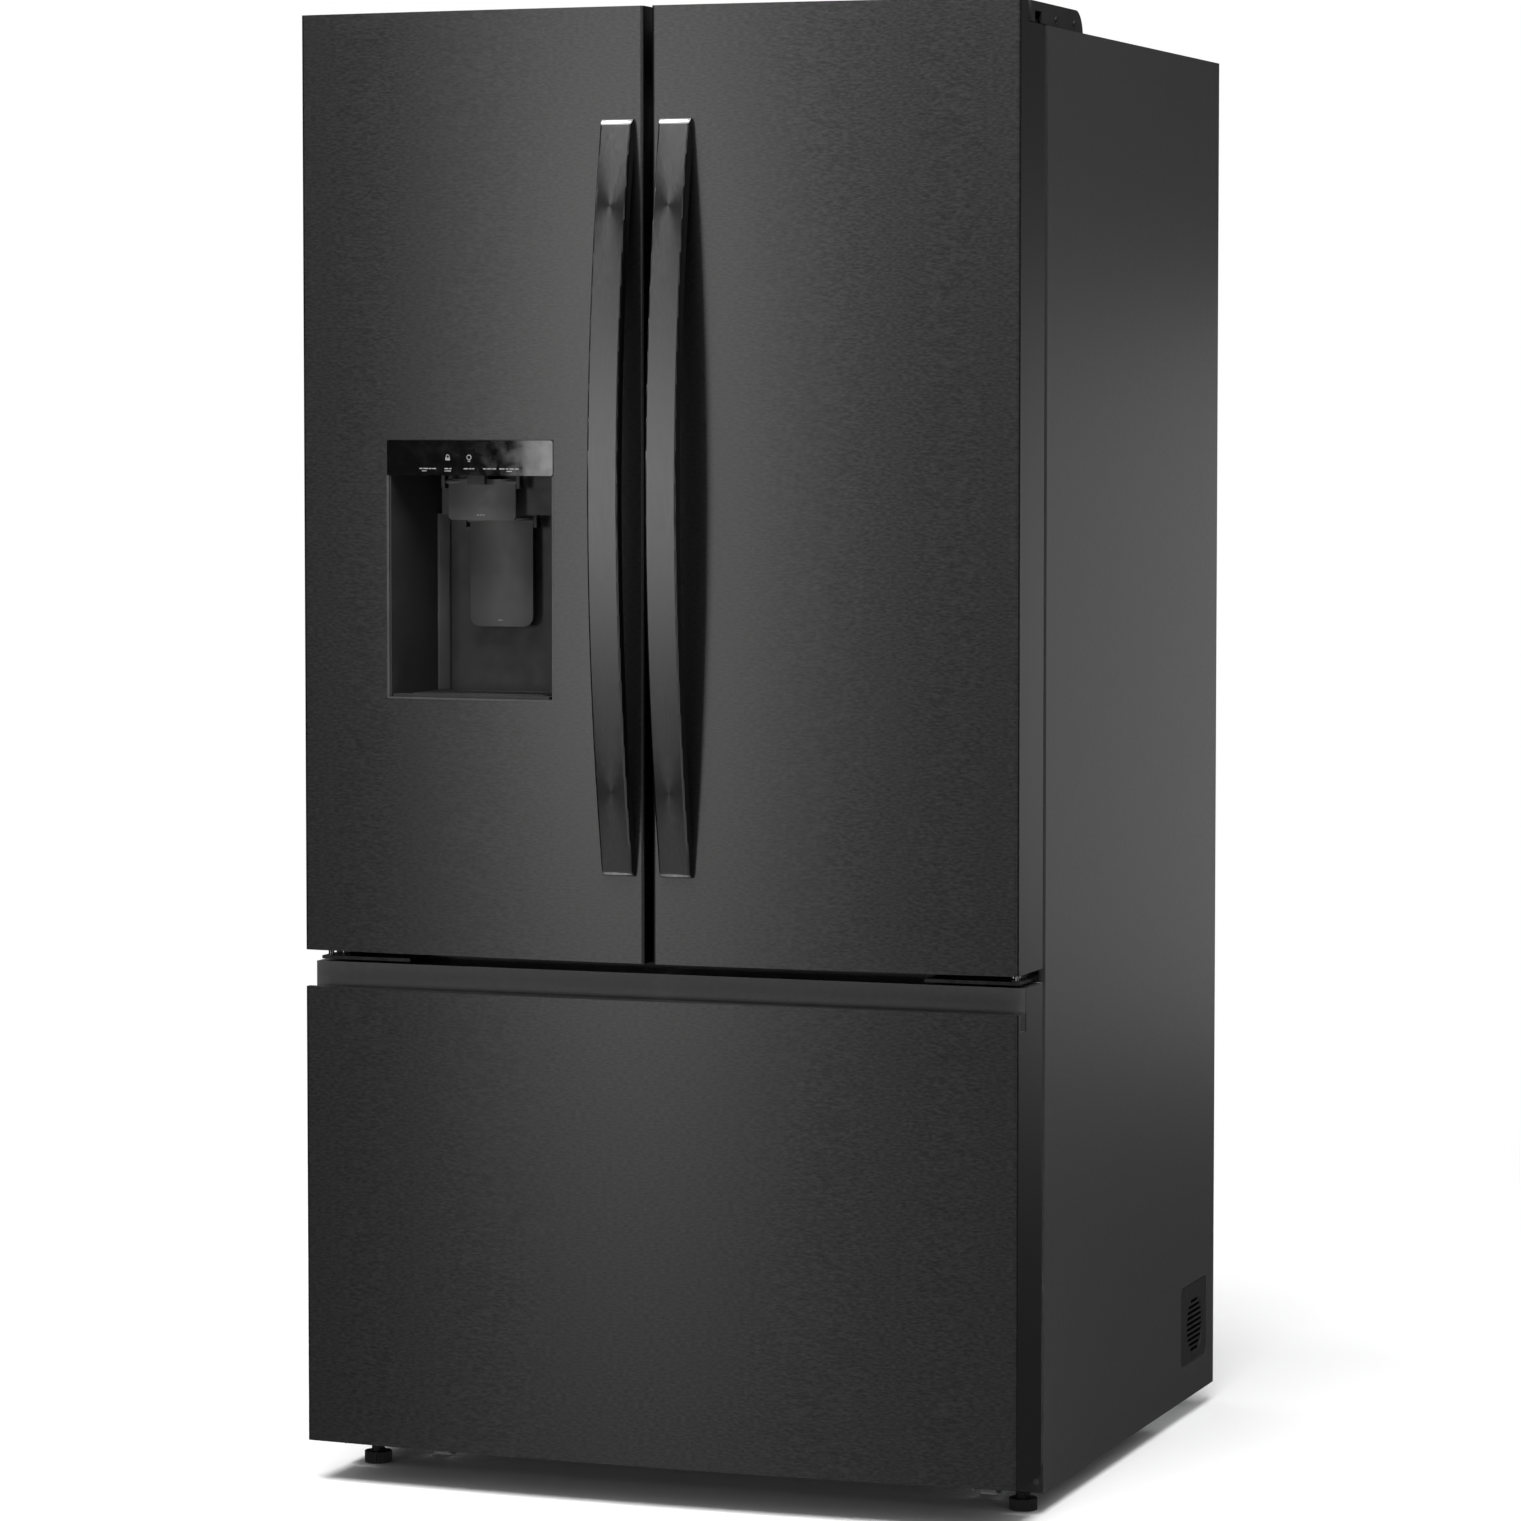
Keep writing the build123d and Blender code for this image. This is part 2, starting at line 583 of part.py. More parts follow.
with BuildPart() as hinges:
    for side in (-1, 1):
        pin_place = (side * HINGE_X, at(HINGE_DEPTH))
        top_x = on_side(side, (396.0, 446.0))
        block(top_x, (at(58), at(225)), TOP_PLATE)
        block(top_x, (at(CASE_DEPTH + 4), at(225)), (CASE_TOP, TOP_PLATE[0]))
        rod("z", HINGE_PIN, (CASE_TOP - CAP_TOP + 1, TOP_PLATE[1]), pin_place)
        centre_x = on_side(side, CENTRE_PLATE_X)
        block(centre_x, (at(CENTRE_PLATE_FRONT), at(CASE_DEPTH)), CENTRE_PLATE)
        block(centre_x, (at(CASE_DEPTH - 4), at(CASE_DEPTH)), (622, 650))
        rod("z", HINGE_PIN + 4, (CENTRE_PLATE[1], DOOR_BOTTOM - 1), pin_place)
        rod("z", HINGE_PIN, (CENTRE_PLATE[0], DOOR_BOTTOM + CAP_BOTTOM - 1), pin_place)
save(hinges, "hinges")

SCREW_HEAD = 5.5

with BuildPart() as screws:
    for side in (-1, 1):
        for x, depth in ((408, 135), (434, 135), (421, 205)):
            rod("z", SCREW_HEAD, (TOP_PLATE[1], TOP_PLATE[1] + 5), (side * x, at(depth)))
        for x in (345, 385):
            rod("y", SCREW_HEAD, (at(CASE_DEPTH - 7), at(CASE_DEPTH - 4)), (side * x, 630))
        rod("z", 3.5, (CENTRE_PLATE[1], DOOR_BOTTOM - 2), (side * STOP_SCREW[0], at(STOP_SCREW[1])))
        rod("y", 4, (CASE_FRONT - 2.5, CASE_FRONT), (side * 444, 40))
save(screws, "screws")

# ---------------------------------------------------------------- doors
LEFT_X = (-HALF, -DOOR_GAP / 2)
RIGHT_X = (DOOR_GAP / 2, HALF)
DOOR_Z = (DOOR_BOTTOM, HEIGHT)
CUT_ABOVE = (CASE_TOP, HEIGHT + 5)


def cut_behind_lip(x):
    """Takes the door down to the cabinet's height behind its top lip."""
    block((x[0] - 1, x[1] + 1), (at(LIP_DEPTH), at(120)), CUT_ABOVE, Mode.SUBTRACT)


def door_skin(x):
    with BuildPart() as skin:
        panel(x, at(PANEL_DEPTH), DOOR_Z, corner=DOOR_FOLD)
        grown_z = (DOOR_Z[0] - 1, DOOR_Z[1] + 1)
        panel(inside_skin(x), at(PANEL_DEPTH + 1), grown_z, SHEET, DOOR_FOLD - SHEET, Mode.SUBTRACT)
        cut_behind_lip(x)
    return skin


def door_foam(x):
    with BuildPart() as foam:
        foam_z = (DOOR_BOTTOM + CAP_BOTTOM, CASE_TOP - CAP_TOP)
        panel(inside_skin(x), at(FOAM_DEPTH), foam_z, SHEET, DOOR_FOLD - SHEET)
    return foam


def door_caps(x, hinge_x):
    """Plastic end caps that close the top and bottom of a door and hold its hinge bushes."""
    with BuildPart() as caps:
        panel(inside_skin(x), at(FOAM_DEPTH), (DOOR_BOTTOM, DOOR_BOTTOM + CAP_BOTTOM), SHEET, 3)
        panel(inside_skin(x), at(FOAM_DEPTH), (CASE_TOP - CAP_TOP, HEIGHT), SHEET, 3)
        cut_behind_lip(x)
        rod("z", HINGE_PIN + RUNNING, (0, HEIGHT), (hinge_x, at(HINGE_DEPTH)), Mode.SUBTRACT)
    return caps


def door_liner(x, rim_x):
    """Inner face of a door, with the raised rim that stands inside the cabinet's opening."""
    with BuildPart() as liner:
        block(inside_skin(x), (at(FOAM_DEPTH), at(PANEL_DEPTH)), (DOOR_BOTTOM, CASE_TOP))
        ring(rim_x, (at(PANEL_DEPTH), at(RIM_DEPTH)), (FRIDGE_Z[0] + 8, FRIDGE_Z[1] - 8), RIM_WIDTH)
    return liner


def door_gasket(x):
    with BuildPart() as gasket:
        ring(x, (at(PANEL_DEPTH), at(GASKET_DEPTH)), (670, 1730), GASKET_WIDTH)
    return gasket


def handle(x):
    """Arched flat bar whose ends stand on the door."""
    middle = (HANDLE_Z[0] + HANDLE_Z[1]) / 2
    surface = FRONT - BOW
    end_face = surface - HANDLE_END_PROUD
    with BuildPart() as bar:
        with BuildSketch(Plane.YZ.offset(x - HANDLE_WIDTH / 2)) as side:
            with BuildLine():
                low_face = (end_face, HANDLE_Z[0] + HANDLE_CHAMFER)
                high_face = (end_face, HANDLE_Z[1] - HANDLE_CHAMFER)
                low_end = (end_face + HANDLE_CHAMFER, HANDLE_Z[0])
                high_end = (end_face + HANDLE_CHAMFER, HANDLE_Z[1])
                low_foot = (surface, HANDLE_Z[0] + HANDLE_FOOT)
                high_foot = (surface, HANDLE_Z[1] - HANDLE_FOOT)
                inside = surface + 10
                ThreePointArc(low_face, (HANDLE_FACE, middle), high_face)
                Polyline(high_face, high_end, (inside, HANDLE_Z[1]), (inside, high_foot[1]), high_foot)
                ThreePointArc(high_foot, (HANDLE_FACE + HANDLE_THICK, middle), low_foot)
                Polyline(low_foot, (inside, low_foot[1]), (inside, HANDLE_Z[0]), low_end, low_face)
            make_face()
        extrude(amount=HANDLE_WIDTH)
        panel(CASE_X, at(20), (HANDLE_Z[0] - 5, HANDLE_Z[1] + 5), mode=Mode.SUBTRACT)
        front_edges = bar.edges().filter_by(GeomType.CIRCLE).group_by(Axis.Y)[0]
        fillet(front_edges, 2.5)
    return bar


def niche(grow, back_depth):
    """Tapered dispenser recess that is open to the front, its walls moved out by grow."""
    front_y = at(-25)
    back_y = at(back_depth)
    slope = NICHE_DRAFT / (NICHE_DEPTH + 12)
    height = NICHE_Z[1] - NICHE_Z[0] + 2 * grow
    centre = ((NICHE_X[0] + NICHE_X[1]) / 2, (NICHE_Z[0] + NICHE_Z[1]) / 2)
    width = NICHE_X[1] - NICHE_X[0] + 2 * grow
    with BuildPart() as recess:
        with BuildSketch(Plane.XZ.offset(-front_y)) as mouth:
            with Locations(centre):
                Rectangle(width + 2 * slope * 13, height)
        with BuildSketch(Plane.XZ.offset(-back_y)) as floor:
            with Locations(centre):
                Rectangle(width - 2 * slope * (back_depth + 12), height)
        loft()
        fillet(recess.edges().filter_by(Axis.Z).group_by(Axis.Y)[-1], 14 + grow)
    return recess.part


CONTROL_BACK = at(1)

left_door_skin = door_skin(LEFT_X)
with left_door_skin:
    hole_z = (NICHE_Z[0] - NICHE_WALL, CONTROL_Z[1] + 0.2)
    block((CONTROL_X[0] - 0.2, CONTROL_X[1] + 0.2), (at(-30), at(5)), hole_z, Mode.SUBTRACT)
save(left_door_skin, "left_door_skin")

left_door_foam = door_foam(LEFT_X)
with left_door_foam:
    block(BULGE_X, (at(FOAM_DEPTH - 1), at(BULGE_DEPTH)), BULGE_Z)
    add(niche(NICHE_WALL, NICHE_DEPTH + NICHE_WALL), mode=Mode.SUBTRACT)
    block(CONTROL_X, (at(-30), CONTROL_BACK), (NICHE_Z[0] - NICHE_WALL, CONTROL_Z[1]), Mode.SUBTRACT)
save(left_door_foam, "left_door_foam")

left_door_caps = door_caps(LEFT_X, -HINGE_X)
save(left_door_caps, "left_door_caps")

LEFT_RIM = (-392.0, -44.0)
RIGHT_RIM = (40.0, 392.0)

left_door_liner = door_liner(LEFT_X, LEFT_RIM)
with left_door_liner:
    shell_x = (BULGE_X[0] - 3, BULGE_X[1] + 3)
    shell_z = (BULGE_Z[0] - 3, BULGE_Z[1] + 3)
    block(shell_x, (at(FOAM_DEPTH), at(BULGE_DEPTH + 3)), shell_z)
    block(BULGE_X, (at(FOAM_DEPTH - 2), at(BULGE_DEPTH)), BULGE_Z, Mode.SUBTRACT)
    for ear, pin in (((706, 710), (709, 716)), ((1690, 1694), (1684, 1691))):
        block((LEFT_RIM[1] - 2, FLAP_X + 8), (at(111), at(125)), ear)
        rod("z", 3, pin, (FLAP_X, at(FLAP_PIVOT_DEPTH)))
save(left_door_liner, "left_door_liner")

left_door_gasket = door_gasket((-428, -14))
save(left_door_gasket, "left_door_gasket")

left_handle = handle(-HANDLE_X)
save(left_handle, "left_handle")

right_door_skin = door_skin(RIGHT_X)
save(right_door_skin, "right_door_skin")

right_door_foam = door_foam(RIGHT_X)
save(right_door_foam, "right_door_foam")

right_door_caps = door_caps(RIGHT_X, HINGE_X)
save(right_door_caps, "right_door_caps")

right_door_liner = door_liner(RIGHT_X, RIGHT_RIM)
save(right_door_liner, "right_door_liner")

right_door_gasket = door_gasket((14, 428))
save(right_door_gasket, "right_door_gasket")

right_handle = handle(HANDLE_X)
save(right_handle, "right_handle")

with BuildPart() as right_door_bins:
    bin_x = (RIGHT_RIM[0] + RIM_WIDTH + 1, RIGHT_RIM[1] - RIM_WIDTH - 1)
    for level in BIN_LEVELS:
        tray(bin_x, (at(PANEL_DEPTH), at(BIN_DEPTH)), (level, level + 95), 3)
save(right_door_bins, "right_door_bins")

# ---------------------------------------------------------------- dispenser
WATER_WIDTH = 87.0
ICE_WIDTH = 82.0


def ears(half_width, pivot, z, depths):
    """Two lugs that hold a paddle's pin."""
    for lug in ((half_width + 3, half_width + 7), (-half_width - 7, -half_width - 3)):
        block((NICHE_CENTRE + lug[0], NICHE_CENTRE + lug[1]), (at(depths[0]), at(depths[1])), z)
    span = (NICHE_CENTRE - half_width - 10, NICHE_CENTRE + half_width + 10)
    rod("x", PADDLE_PIN + RUNNING, span, (at(pivot[0]), pivot[1]), Mode.SUBTRACT)


with BuildPart() as dispenser_head:
    add(niche(NICHE_WALL / 2, NICHE_DEPTH + NICHE_WALL / 2))
    block((-288, CONTROL_X[1]), (at(42), at(NICHE_DEPTH + 5)), (HEAD_BOTTOM, NICHE_Z[1] + 1), Mode.INTERSECT)

with BuildPart() as dispenser_housing:
    add(niche(NICHE_WALL, NICHE_DEPTH + NICHE_WALL))
    block(CONTROL_X, (at(-30), CONTROL_BACK), (NICHE_Z[0] - NICHE_WALL, NICHE_Z[1]))
    add(niche(0, NICHE_DEPTH), mode=Mode.SUBTRACT)
    add(dispenser_head.part)
    block((-239, -217), (at(4), at(14)), (NICHE_Z[1] - 11, NICHE_Z[1] + 1))
    block((-332, -127), (at(-14), at(10)), (NICHE_Z[0] - 1, NICHE_Z[0] + 3))
    ears(WATER_WIDTH / 2, WATER_PIVOT, (WATER_PIVOT[1] - 8, NICHE_Z[1] + 1), (18, 30))
    ears(ICE_WIDTH / 2, ICE_PIVOT, (ICE_PIVOT[1] - 8, HEAD_BOTTOM + 1), (78, 90))
    panel(CASE_X, at(NICHE_DEPTH + 5), (900, 1300), SHEET, mode=Mode.INTERSECT)
    block(CONTROL_X, (at(-30), CONTROL_BACK), (CONTROL_Z[0], CONTROL_Z[1] + 5), Mode.SUBTRACT)
save(dispenser_housing, "dispenser_housing")

with BuildPart() as control_panel:
    with BuildSketch(Plane.XZ.offset(-at(-30))) as fascia:
        with Locations(((CONTROL_X[0] + CONTROL_X[1]) / 2, (CONTROL_Z[0] + CONTROL_Z[1]) / 2)):
            RectangleRounded(CONTROL_X[1] - CONTROL_X[0], CONTROL_Z[1] - CONTROL_Z[0], 3)
    extrude(amount=CONTROL_BACK - at(-30), dir=(0, 1, 0))
    panel(CASE_X, at(5), (1200, 1300), -0.6, mode=Mode.INTERSECT)
save(control_panel, "control_panel")


def paddle(width, pivot, bottom, thickness, corner):
    """Pad with a rounded front and rounded lower corners that hangs from a pin."""
    half = width / 2
    front = at(pivot[0]) - 4
    pin_span = (NICHE_CENTRE - half - 5.5, NICHE_CENTRE + half + 5.5)
    with BuildPart() as pad:
        with BuildSketch(Plane.XY.offset(bottom)) as section:
            with BuildLine():
                left = (NICHE_CENTRE - half, front + thickness)
                right = (NICHE_CENTRE + half, front + thickness)
                crown_left = (NICHE_CENTRE - half, front + 3)
                crown_right = (NICHE_CENTRE + half, front + 3)
                ThreePointArc(crown_left, (NICHE_CENTRE, front), crown_right)
                Polyline(crown_right, right, left, crown_left)
            make_face()
        extrude(amount=pivot[1] + PADDLE_PIN - bottom)
        fillet(pad.edges().filter_by(Axis.Y).group_by(Axis.Z)[0], corner)
        rod("x", PADDLE_PIN, pin_span, (at(pivot[0]), pivot[1]))
    return pad


water_paddle = paddle(WATER_WIDTH, WATER_PIVOT, 1175, 7, 5)
save(water_paddle, "water_paddle")

ice_paddle = paddle(ICE_WIDTH, ICE_PIVOT, 1045, 7.5, 12)
save(ice_paddle, "ice_paddle")

with BuildPart() as ice_box:
    block((-370, -66), (at(PANEL_DEPTH), at(210)), (1310, 1650))
    fillet(ice_box.edges().filter_by(Axis.Z).group_by(Axis.Y)[-1], 12)
    block((-356, -80), (at(PANEL_DEPTH + 12), at(196)), (1324, 1651), Mode.SUBTRACT)
save(ice_box, "ice_box")

with BuildPart() as mullion_flap:
    flap_x = (FLAP_X - FLAP_RADIUS, FLAP_X + FLAP_RADIUS)
    pivot_y = at(FLAP_PIVOT_DEPTH)
    block(flap_x, (pivot_y, pivot_y + FLAP_LENGTH), FLAP_Z)
    rod("z", FLAP_RADIUS, FLAP_Z, (FLAP_X, pivot_y))
    rod("z", 3 + RUNNING, (FLAP_Z[0] - 1, FLAP_Z[0] + 5), (FLAP_X, pivot_y), Mode.SUBTRACT)
    rod("z", 3 + RUNNING, (FLAP_Z[1] - 5, FLAP_Z[1] + 1), (FLAP_X, pivot_y), Mode.SUBTRACT)
save(mullion_flap, "mullion_flap")

# ---------------------------------------------------------------- freezer drawer
ABOVE_LIP = (DRAWER_LIP, DRAWER_TOP + 5)

with BuildPart() as drawer_skin:
    panel(CASE_X, at(PANEL_DEPTH), (DRAWER_BOTTOM, DRAWER_TOP), corner=DOOR_FOLD)
    hollow_z = (DRAWER_BOTTOM + SHEET, DRAWER_LIP - SHEET)
    panel(inside_skin(CASE_X), at(PANEL_DEPTH + 1), hollow_z, SHEET, DOOR_FOLD - SHEET, Mode.SUBTRACT)
    rear_x = inside_skin(CASE_X)
    block(rear_x, (at(LIP_BACK), at(PANEL_DEPTH + 1)), (DRAWER_LIP - 5, DRAWER_TOP + 5), Mode.SUBTRACT)
    block((-HALF - 1, HALF + 1), (at(-30), at(BAND_DEPTH)), ABOVE_LIP, Mode.SUBTRACT)
    channel_z = (CHANNEL_FLOOR, DRAWER_TOP + 5)
    block((-HALF - 1, HALF + 1), (at(LIP_BACK), at(BAND_DEPTH)), channel_z, Mode.SUBTRACT)
save(drawer_skin, "drawer_skin")

GRIP_WALL = 2.0

with BuildPart() as drawer_grip:
    grip_x = inside_skin(CASE_X)
    wall_front = (at(LIP_BACK - GRIP_WALL), at(LIP_BACK))
    block(grip_x, wall_front, (CHANNEL_FLOOR - GRIP_WALL, DRAWER_LIP - SHEET))
    floor_y = (at(LIP_BACK - GRIP_WALL), at(BAND_DEPTH + GRIP_WALL))
    block(grip_x, floor_y, (CHANNEL_FLOOR - GRIP_WALL, CHANNEL_FLOOR))
    block(grip_x, (at(BAND_DEPTH), at(BAND_DEPTH + GRIP_WALL)), (CHANNEL_FLOOR - GRIP_WALL, DRAWER_TOP))
    block(grip_x, (at(BAND_DEPTH), at(FOAM_DEPTH)), (DRAWER_TOP - GRIP_WALL, DRAWER_TOP))
save(drawer_grip, "drawer_grip")

with BuildPart() as drawer_foam:
    foam_z = (DRAWER_BOTTOM + SHEET, DRAWER_TOP - GRIP_WALL)
    panel(inside_skin(CASE_X), at(FOAM_DEPTH), foam_z, SHEET, DOOR_FOLD - SHEET)
    channel_y = (at(LIP_BACK - GRIP_WALL), at(BAND_DEPTH + GRIP_WALL))
    block(CASE_X, channel_y, (CHANNEL_FLOOR - GRIP_WALL, DRAWER_TOP), Mode.SUBTRACT)
    block(CASE_X, (at(-30), at(BAND_DEPTH)), (DRAWER_LIP - SHEET, DRAWER_TOP), Mode.SUBTRACT)
save(drawer_foam, "drawer_foam")

with BuildPart() as drawer_liner:
    block(inside_skin(CASE_X), (at(FOAM_DEPTH), at(PANEL_DEPTH)), (DRAWER_BOTTOM + SHEET, DRAWER_TOP))
    ring((-382, 382), (at(PANEL_DEPTH), at(RIM_DEPTH - 3)), (108, 590), RIM_WIDTH)
save(drawer_liner, "drawer_liner")

with BuildPart() as drawer_gasket:
    ring((-428, 428), (at(PANEL_DEPTH), at(GASKET_DEPTH)), (82, 618), GASKET_WIDTH)
save(drawer_gasket, "drawer_gasket")

with BuildPart() as drawer_tracks:
    for track in both((388.0, 399.8)):
        block(track, SLIDE_Y, SLIDE_Z)
    for groove in both((387.0, 397.5)):
        block(groove, (SLIDE_Y[0] - 1, SLIDE_Y[1] - 2), (SLIDE_Z[0] + 4, SLIDE_Z[1] - 4), Mode.SUBTRACT)
save(drawer_tracks, "drawer_tracks")

TONGUE_Z = (SLIDE_Z[0] + 6.5, SLIDE_Z[1] - 6.5)

with BuildPart() as drawer_slides:
    for bar in both((385.5, 395.5)):
        block(bar, (at(PANEL_DEPTH), SLIDE_Y[1] - 5), TONGUE_Z)
save(drawer_slides, "drawer_slides")

BASKET_X = (-372.0, 372.0)
BASKET_Y = (-272.0, 178.0)
BASKET_Z = (112.0, TONGUE_Z[1] + 3.2)
FLANGE_X = 386.5

with BuildPart() as freezer_basket:
    block(BASKET_X, BASKET_Y, BASKET_Z)
    flange_z = (TONGUE_Z[1] + 0.2, BASKET_Z[1])
    block((-FLANGE_X, FLANGE_X), BASKET_Y, flange_z)
    fillet(freezer_basket.edges().filter_by(Axis.Z).group_by(SortBy.LENGTH)[-1], 18)
    inner_x = (BASKET_X[0] + 3, BASKET_X[1] - 3)
    inner_y = (BASKET_Y[0] + 3, BASKET_Y[1] - 3)
    block(inner_x, inner_y, (BASKET_Z[0] + 3, BASKET_Z[1] + 1), Mode.SUBTRACT)
save(freezer_basket, "freezer_basket")
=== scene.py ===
import json
import math

import bmesh
import bpy
from mathutils import Euler, Matrix, Vector


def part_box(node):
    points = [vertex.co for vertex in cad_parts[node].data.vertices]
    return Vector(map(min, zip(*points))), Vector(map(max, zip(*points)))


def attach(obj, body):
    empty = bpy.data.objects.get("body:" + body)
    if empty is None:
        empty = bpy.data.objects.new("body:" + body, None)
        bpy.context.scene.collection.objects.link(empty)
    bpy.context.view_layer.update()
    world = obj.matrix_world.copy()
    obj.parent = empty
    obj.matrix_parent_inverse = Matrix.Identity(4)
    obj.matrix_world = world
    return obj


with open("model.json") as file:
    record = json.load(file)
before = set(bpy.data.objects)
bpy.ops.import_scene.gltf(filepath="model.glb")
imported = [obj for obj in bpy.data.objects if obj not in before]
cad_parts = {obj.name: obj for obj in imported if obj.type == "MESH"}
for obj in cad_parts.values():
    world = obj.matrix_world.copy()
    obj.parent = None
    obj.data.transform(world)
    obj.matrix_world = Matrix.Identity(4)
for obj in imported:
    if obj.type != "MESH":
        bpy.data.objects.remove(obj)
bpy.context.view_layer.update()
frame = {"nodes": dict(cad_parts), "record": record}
nodes = frame["nodes"]

# ---------------------------------------------------------------- sizes, in millimetres
METRE = 0.001


def span(node, axis):
    """Limits of a CAD node on one axis, in millimetres."""
    low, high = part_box(node)
    return (low[axis] / METRE, high[axis] / METRE)


X, Y, Z = 0, 1, 2
HALF = span("drawer_skin", X)[1]
BOW = 15.4  # how far the door faces bulge at mid width
SIDE_Y = span("drawer_skin", Y)[0] + BOW
BOW_RADIUS = (HALF**2 + BOW**2) / (2 * BOW)


def at(depth):
    """Y at a depth behind the side edges of the door faces."""
    return SIDE_Y + depth


def bow(x):
    """Y of the bowed door faces at x."""
    return SIDE_Y - BOW + BOW_RADIUS - math.sqrt(BOW_RADIUS**2 - x**2)


def both(x):
    """X limits on the right and on the left."""
    return (x, (-x[1], -x[0]))


# ---------------------------------------------------------------- finishes
class Finish:
    """A procedural material. Constants sit on the shader, patterns are linked to it."""

    def __init__(self, name, **constants):
        self.material = bpy.data.materials.new(name)
        self.material.use_nodes = True
        self.tree = self.material.node_tree
        self.shader = self.tree.nodes["Principled BSDF"]
        self.normal = None
        for key, value in constants.items():
            socket = self.shader.inputs[key.replace("_", " ").title().replace("Ior", "IOR")]
            socket.default_value = (*value, 1.0) if isinstance(value, tuple) else value
        self.place = self.node("ShaderNodeTexCoord").outputs["Object"]

    def node(self, kind, **settings):
        made = self.tree.nodes.new(kind)
        for key, value in settings.items():
            setattr(made, key, value)
        return made

    def link(self, output, target):
        self.tree.links.new(output, target)

    def stretched(self, scale):
        """The object's own coordinates, in features per metre on each axis."""
        mapping = self.node("ShaderNodeMapping")
        mapping.inputs["Scale"].default_value = scale
        self.link(self.place, mapping.inputs["Vector"])
        return mapping.outputs["Vector"]

    def noise(self, scale, detail=3.0, roughness=0.55):
        made = self.node("ShaderNodeTexNoise")
        made.inputs["Scale"].default_value = 1.0
        made.inputs["Detail"].default_value = detail
        made.inputs["Roughness"].default_value = roughness
        self.link(self.stretched(scale), made.inputs["Vector"])
        return made.outputs["Fac"]

    def cells(self, scale, feature="F1"):
        made = self.node("ShaderNodeTexVoronoi", feature=feature)
        made.inputs["Scale"].default_value = 1.0
        self.link(self.stretched(scale), made.inputs["Vector"])
        return made.outputs["Distance"] if feature != "F1" else made.outputs["Color"]

    def waves(self, scale, direction="Z", profile="SIN"):
        made = self.node("ShaderNodeTexWave", bands_direction=direction, wave_profile=profile)
        made.inputs["Scale"].default_value = 1.0
        made.inputs["Distortion"].default_value = 0.0
        self.link(self.stretched(scale), made.inputs["Vector"])
        return made.outputs["Fac"]

    def ramp(self, pattern, low, high, start=0.3, end=0.7):
        made = self.node("ShaderNodeValToRGB")
        made.color_ramp.elements[0].position = start
        made.color_ramp.elements[1].position = end
        made.color_ramp.elements[0].color = (*low, 1.0)
        made.color_ramp.elements[1].color = (*high, 1.0)
        self.link(pattern, made.inputs["Fac"])
        return made.outputs["Color"]

    def colour(self, pattern, low, high, start=0.3, end=0.7):
        self.link(self.ramp(pattern, low, high, start, end), self.shader.inputs["Base Color"])
        return self

    def rough(self, pattern, low, high, start=0.3, end=0.7):
        made = self.node("ShaderNodeMapRange")
        for key, value in (("From Min", start), ("From Max", end), ("To Min", low), ("To Max", high)):
            made.inputs[key].default_value = value
        self.link(pattern, made.inputs["Value"])
        self.link(made.outputs["Result"], self.shader.inputs["Roughness"])
        return self

    def bump(self, pattern, strength, height):
        """Bump whose height is in metres. A second one lies on the first."""
        made = self.node("ShaderNodeBump")
        made.inputs["Strength"].default_value = strength
        made.inputs["Distance"].default_value = height
        self.link(pattern, made.inputs["Height"])
        if self.normal:
            self.link(self.normal, made.inputs["Normal"])
        self.normal = made.outputs["Normal"]
        self.link(self.normal, self.shader.inputs["Normal"])
        return self


def grey(level, warmth=0.0):
    return (level * (1 + warmth), level, level * (1 - warmth))


def brushed(name, low, high, roughness, grain=(150.0, 150.0, 520.0)):
    """Metal brushed from side to side."""
    made = Finish(name, metallic=1.0, anisotropic=0.6, anisotropic_rotation=0.25)
    streaks = made.noise(grain, detail=4.0, roughness=0.6)
    made.colour(streaks, low, high, 0.32, 0.68)
    made.rough(made.noise(grain, detail=2.0), roughness - 0.02, roughness + 0.03)
    made.bump(made.noise((90.0, 90.0, 1100.0), detail=2.0), 0.05, 0.0001)
    return made


def moulded(name, low, high, roughness, grain=1500.0, height=0.00008, strength=0.25, **constants):
    """Moulded plastic with a fine grain and slow changes of colour and gloss."""
    made = Finish(name, **constants)
    made.colour(made.noise((22.0,) * 3, detail=2.0), low, high)
    made.rough(made.noise((60.0,) * 3, detail=4.0), roughness - 0.04, roughness + 0.05)
    made.bump(made.noise((grain,) * 3, detail=1.0), strength, height)
    return made


def painted(name, low, high, roughness, peel=260.0, **constants):
    """Paint with orange peel."""
    made = Finish(name, **constants)
    made.colour(made.noise((160.0,) * 3, detail=3.0), low, high)
    made.rough(made.noise((240.0,) * 3, detail=3.0), roughness - 0.02, roughness + 0.02)
    made.bump(made.noise((peel,) * 3, detail=2.0), 0.12, 0.0003)
    return made


def plated(name, low, high, roughness):
    """Galvanised sheet with the soft patches of its spangle."""
    made = Finish(name, metallic=1.0)
    made.colour(made.cells((95.0,) * 3), low, high, 0.1, 0.9)
    made.rough(made.noise((140.0,) * 3), roughness - 0.06, roughness + 0.08)
    made.bump(made.noise((420.0,) * 3), 0.12, 0.0002)
    return made


def see_through(name, tint, roughness, **constants):
    made = Finish(name, transmission_weight=1.0, **constants)
    made.colour(made.noise((12.0,) * 3), tint, tuple(min(1.0, part * 1.015) for part in tint))
    made.rough(made.noise((45.0,) * 3, detail=4.0), roughness, roughness + 0.05)
    made.bump(made.noise((90.0,) * 3), 0.04, 0.0004)
    return made


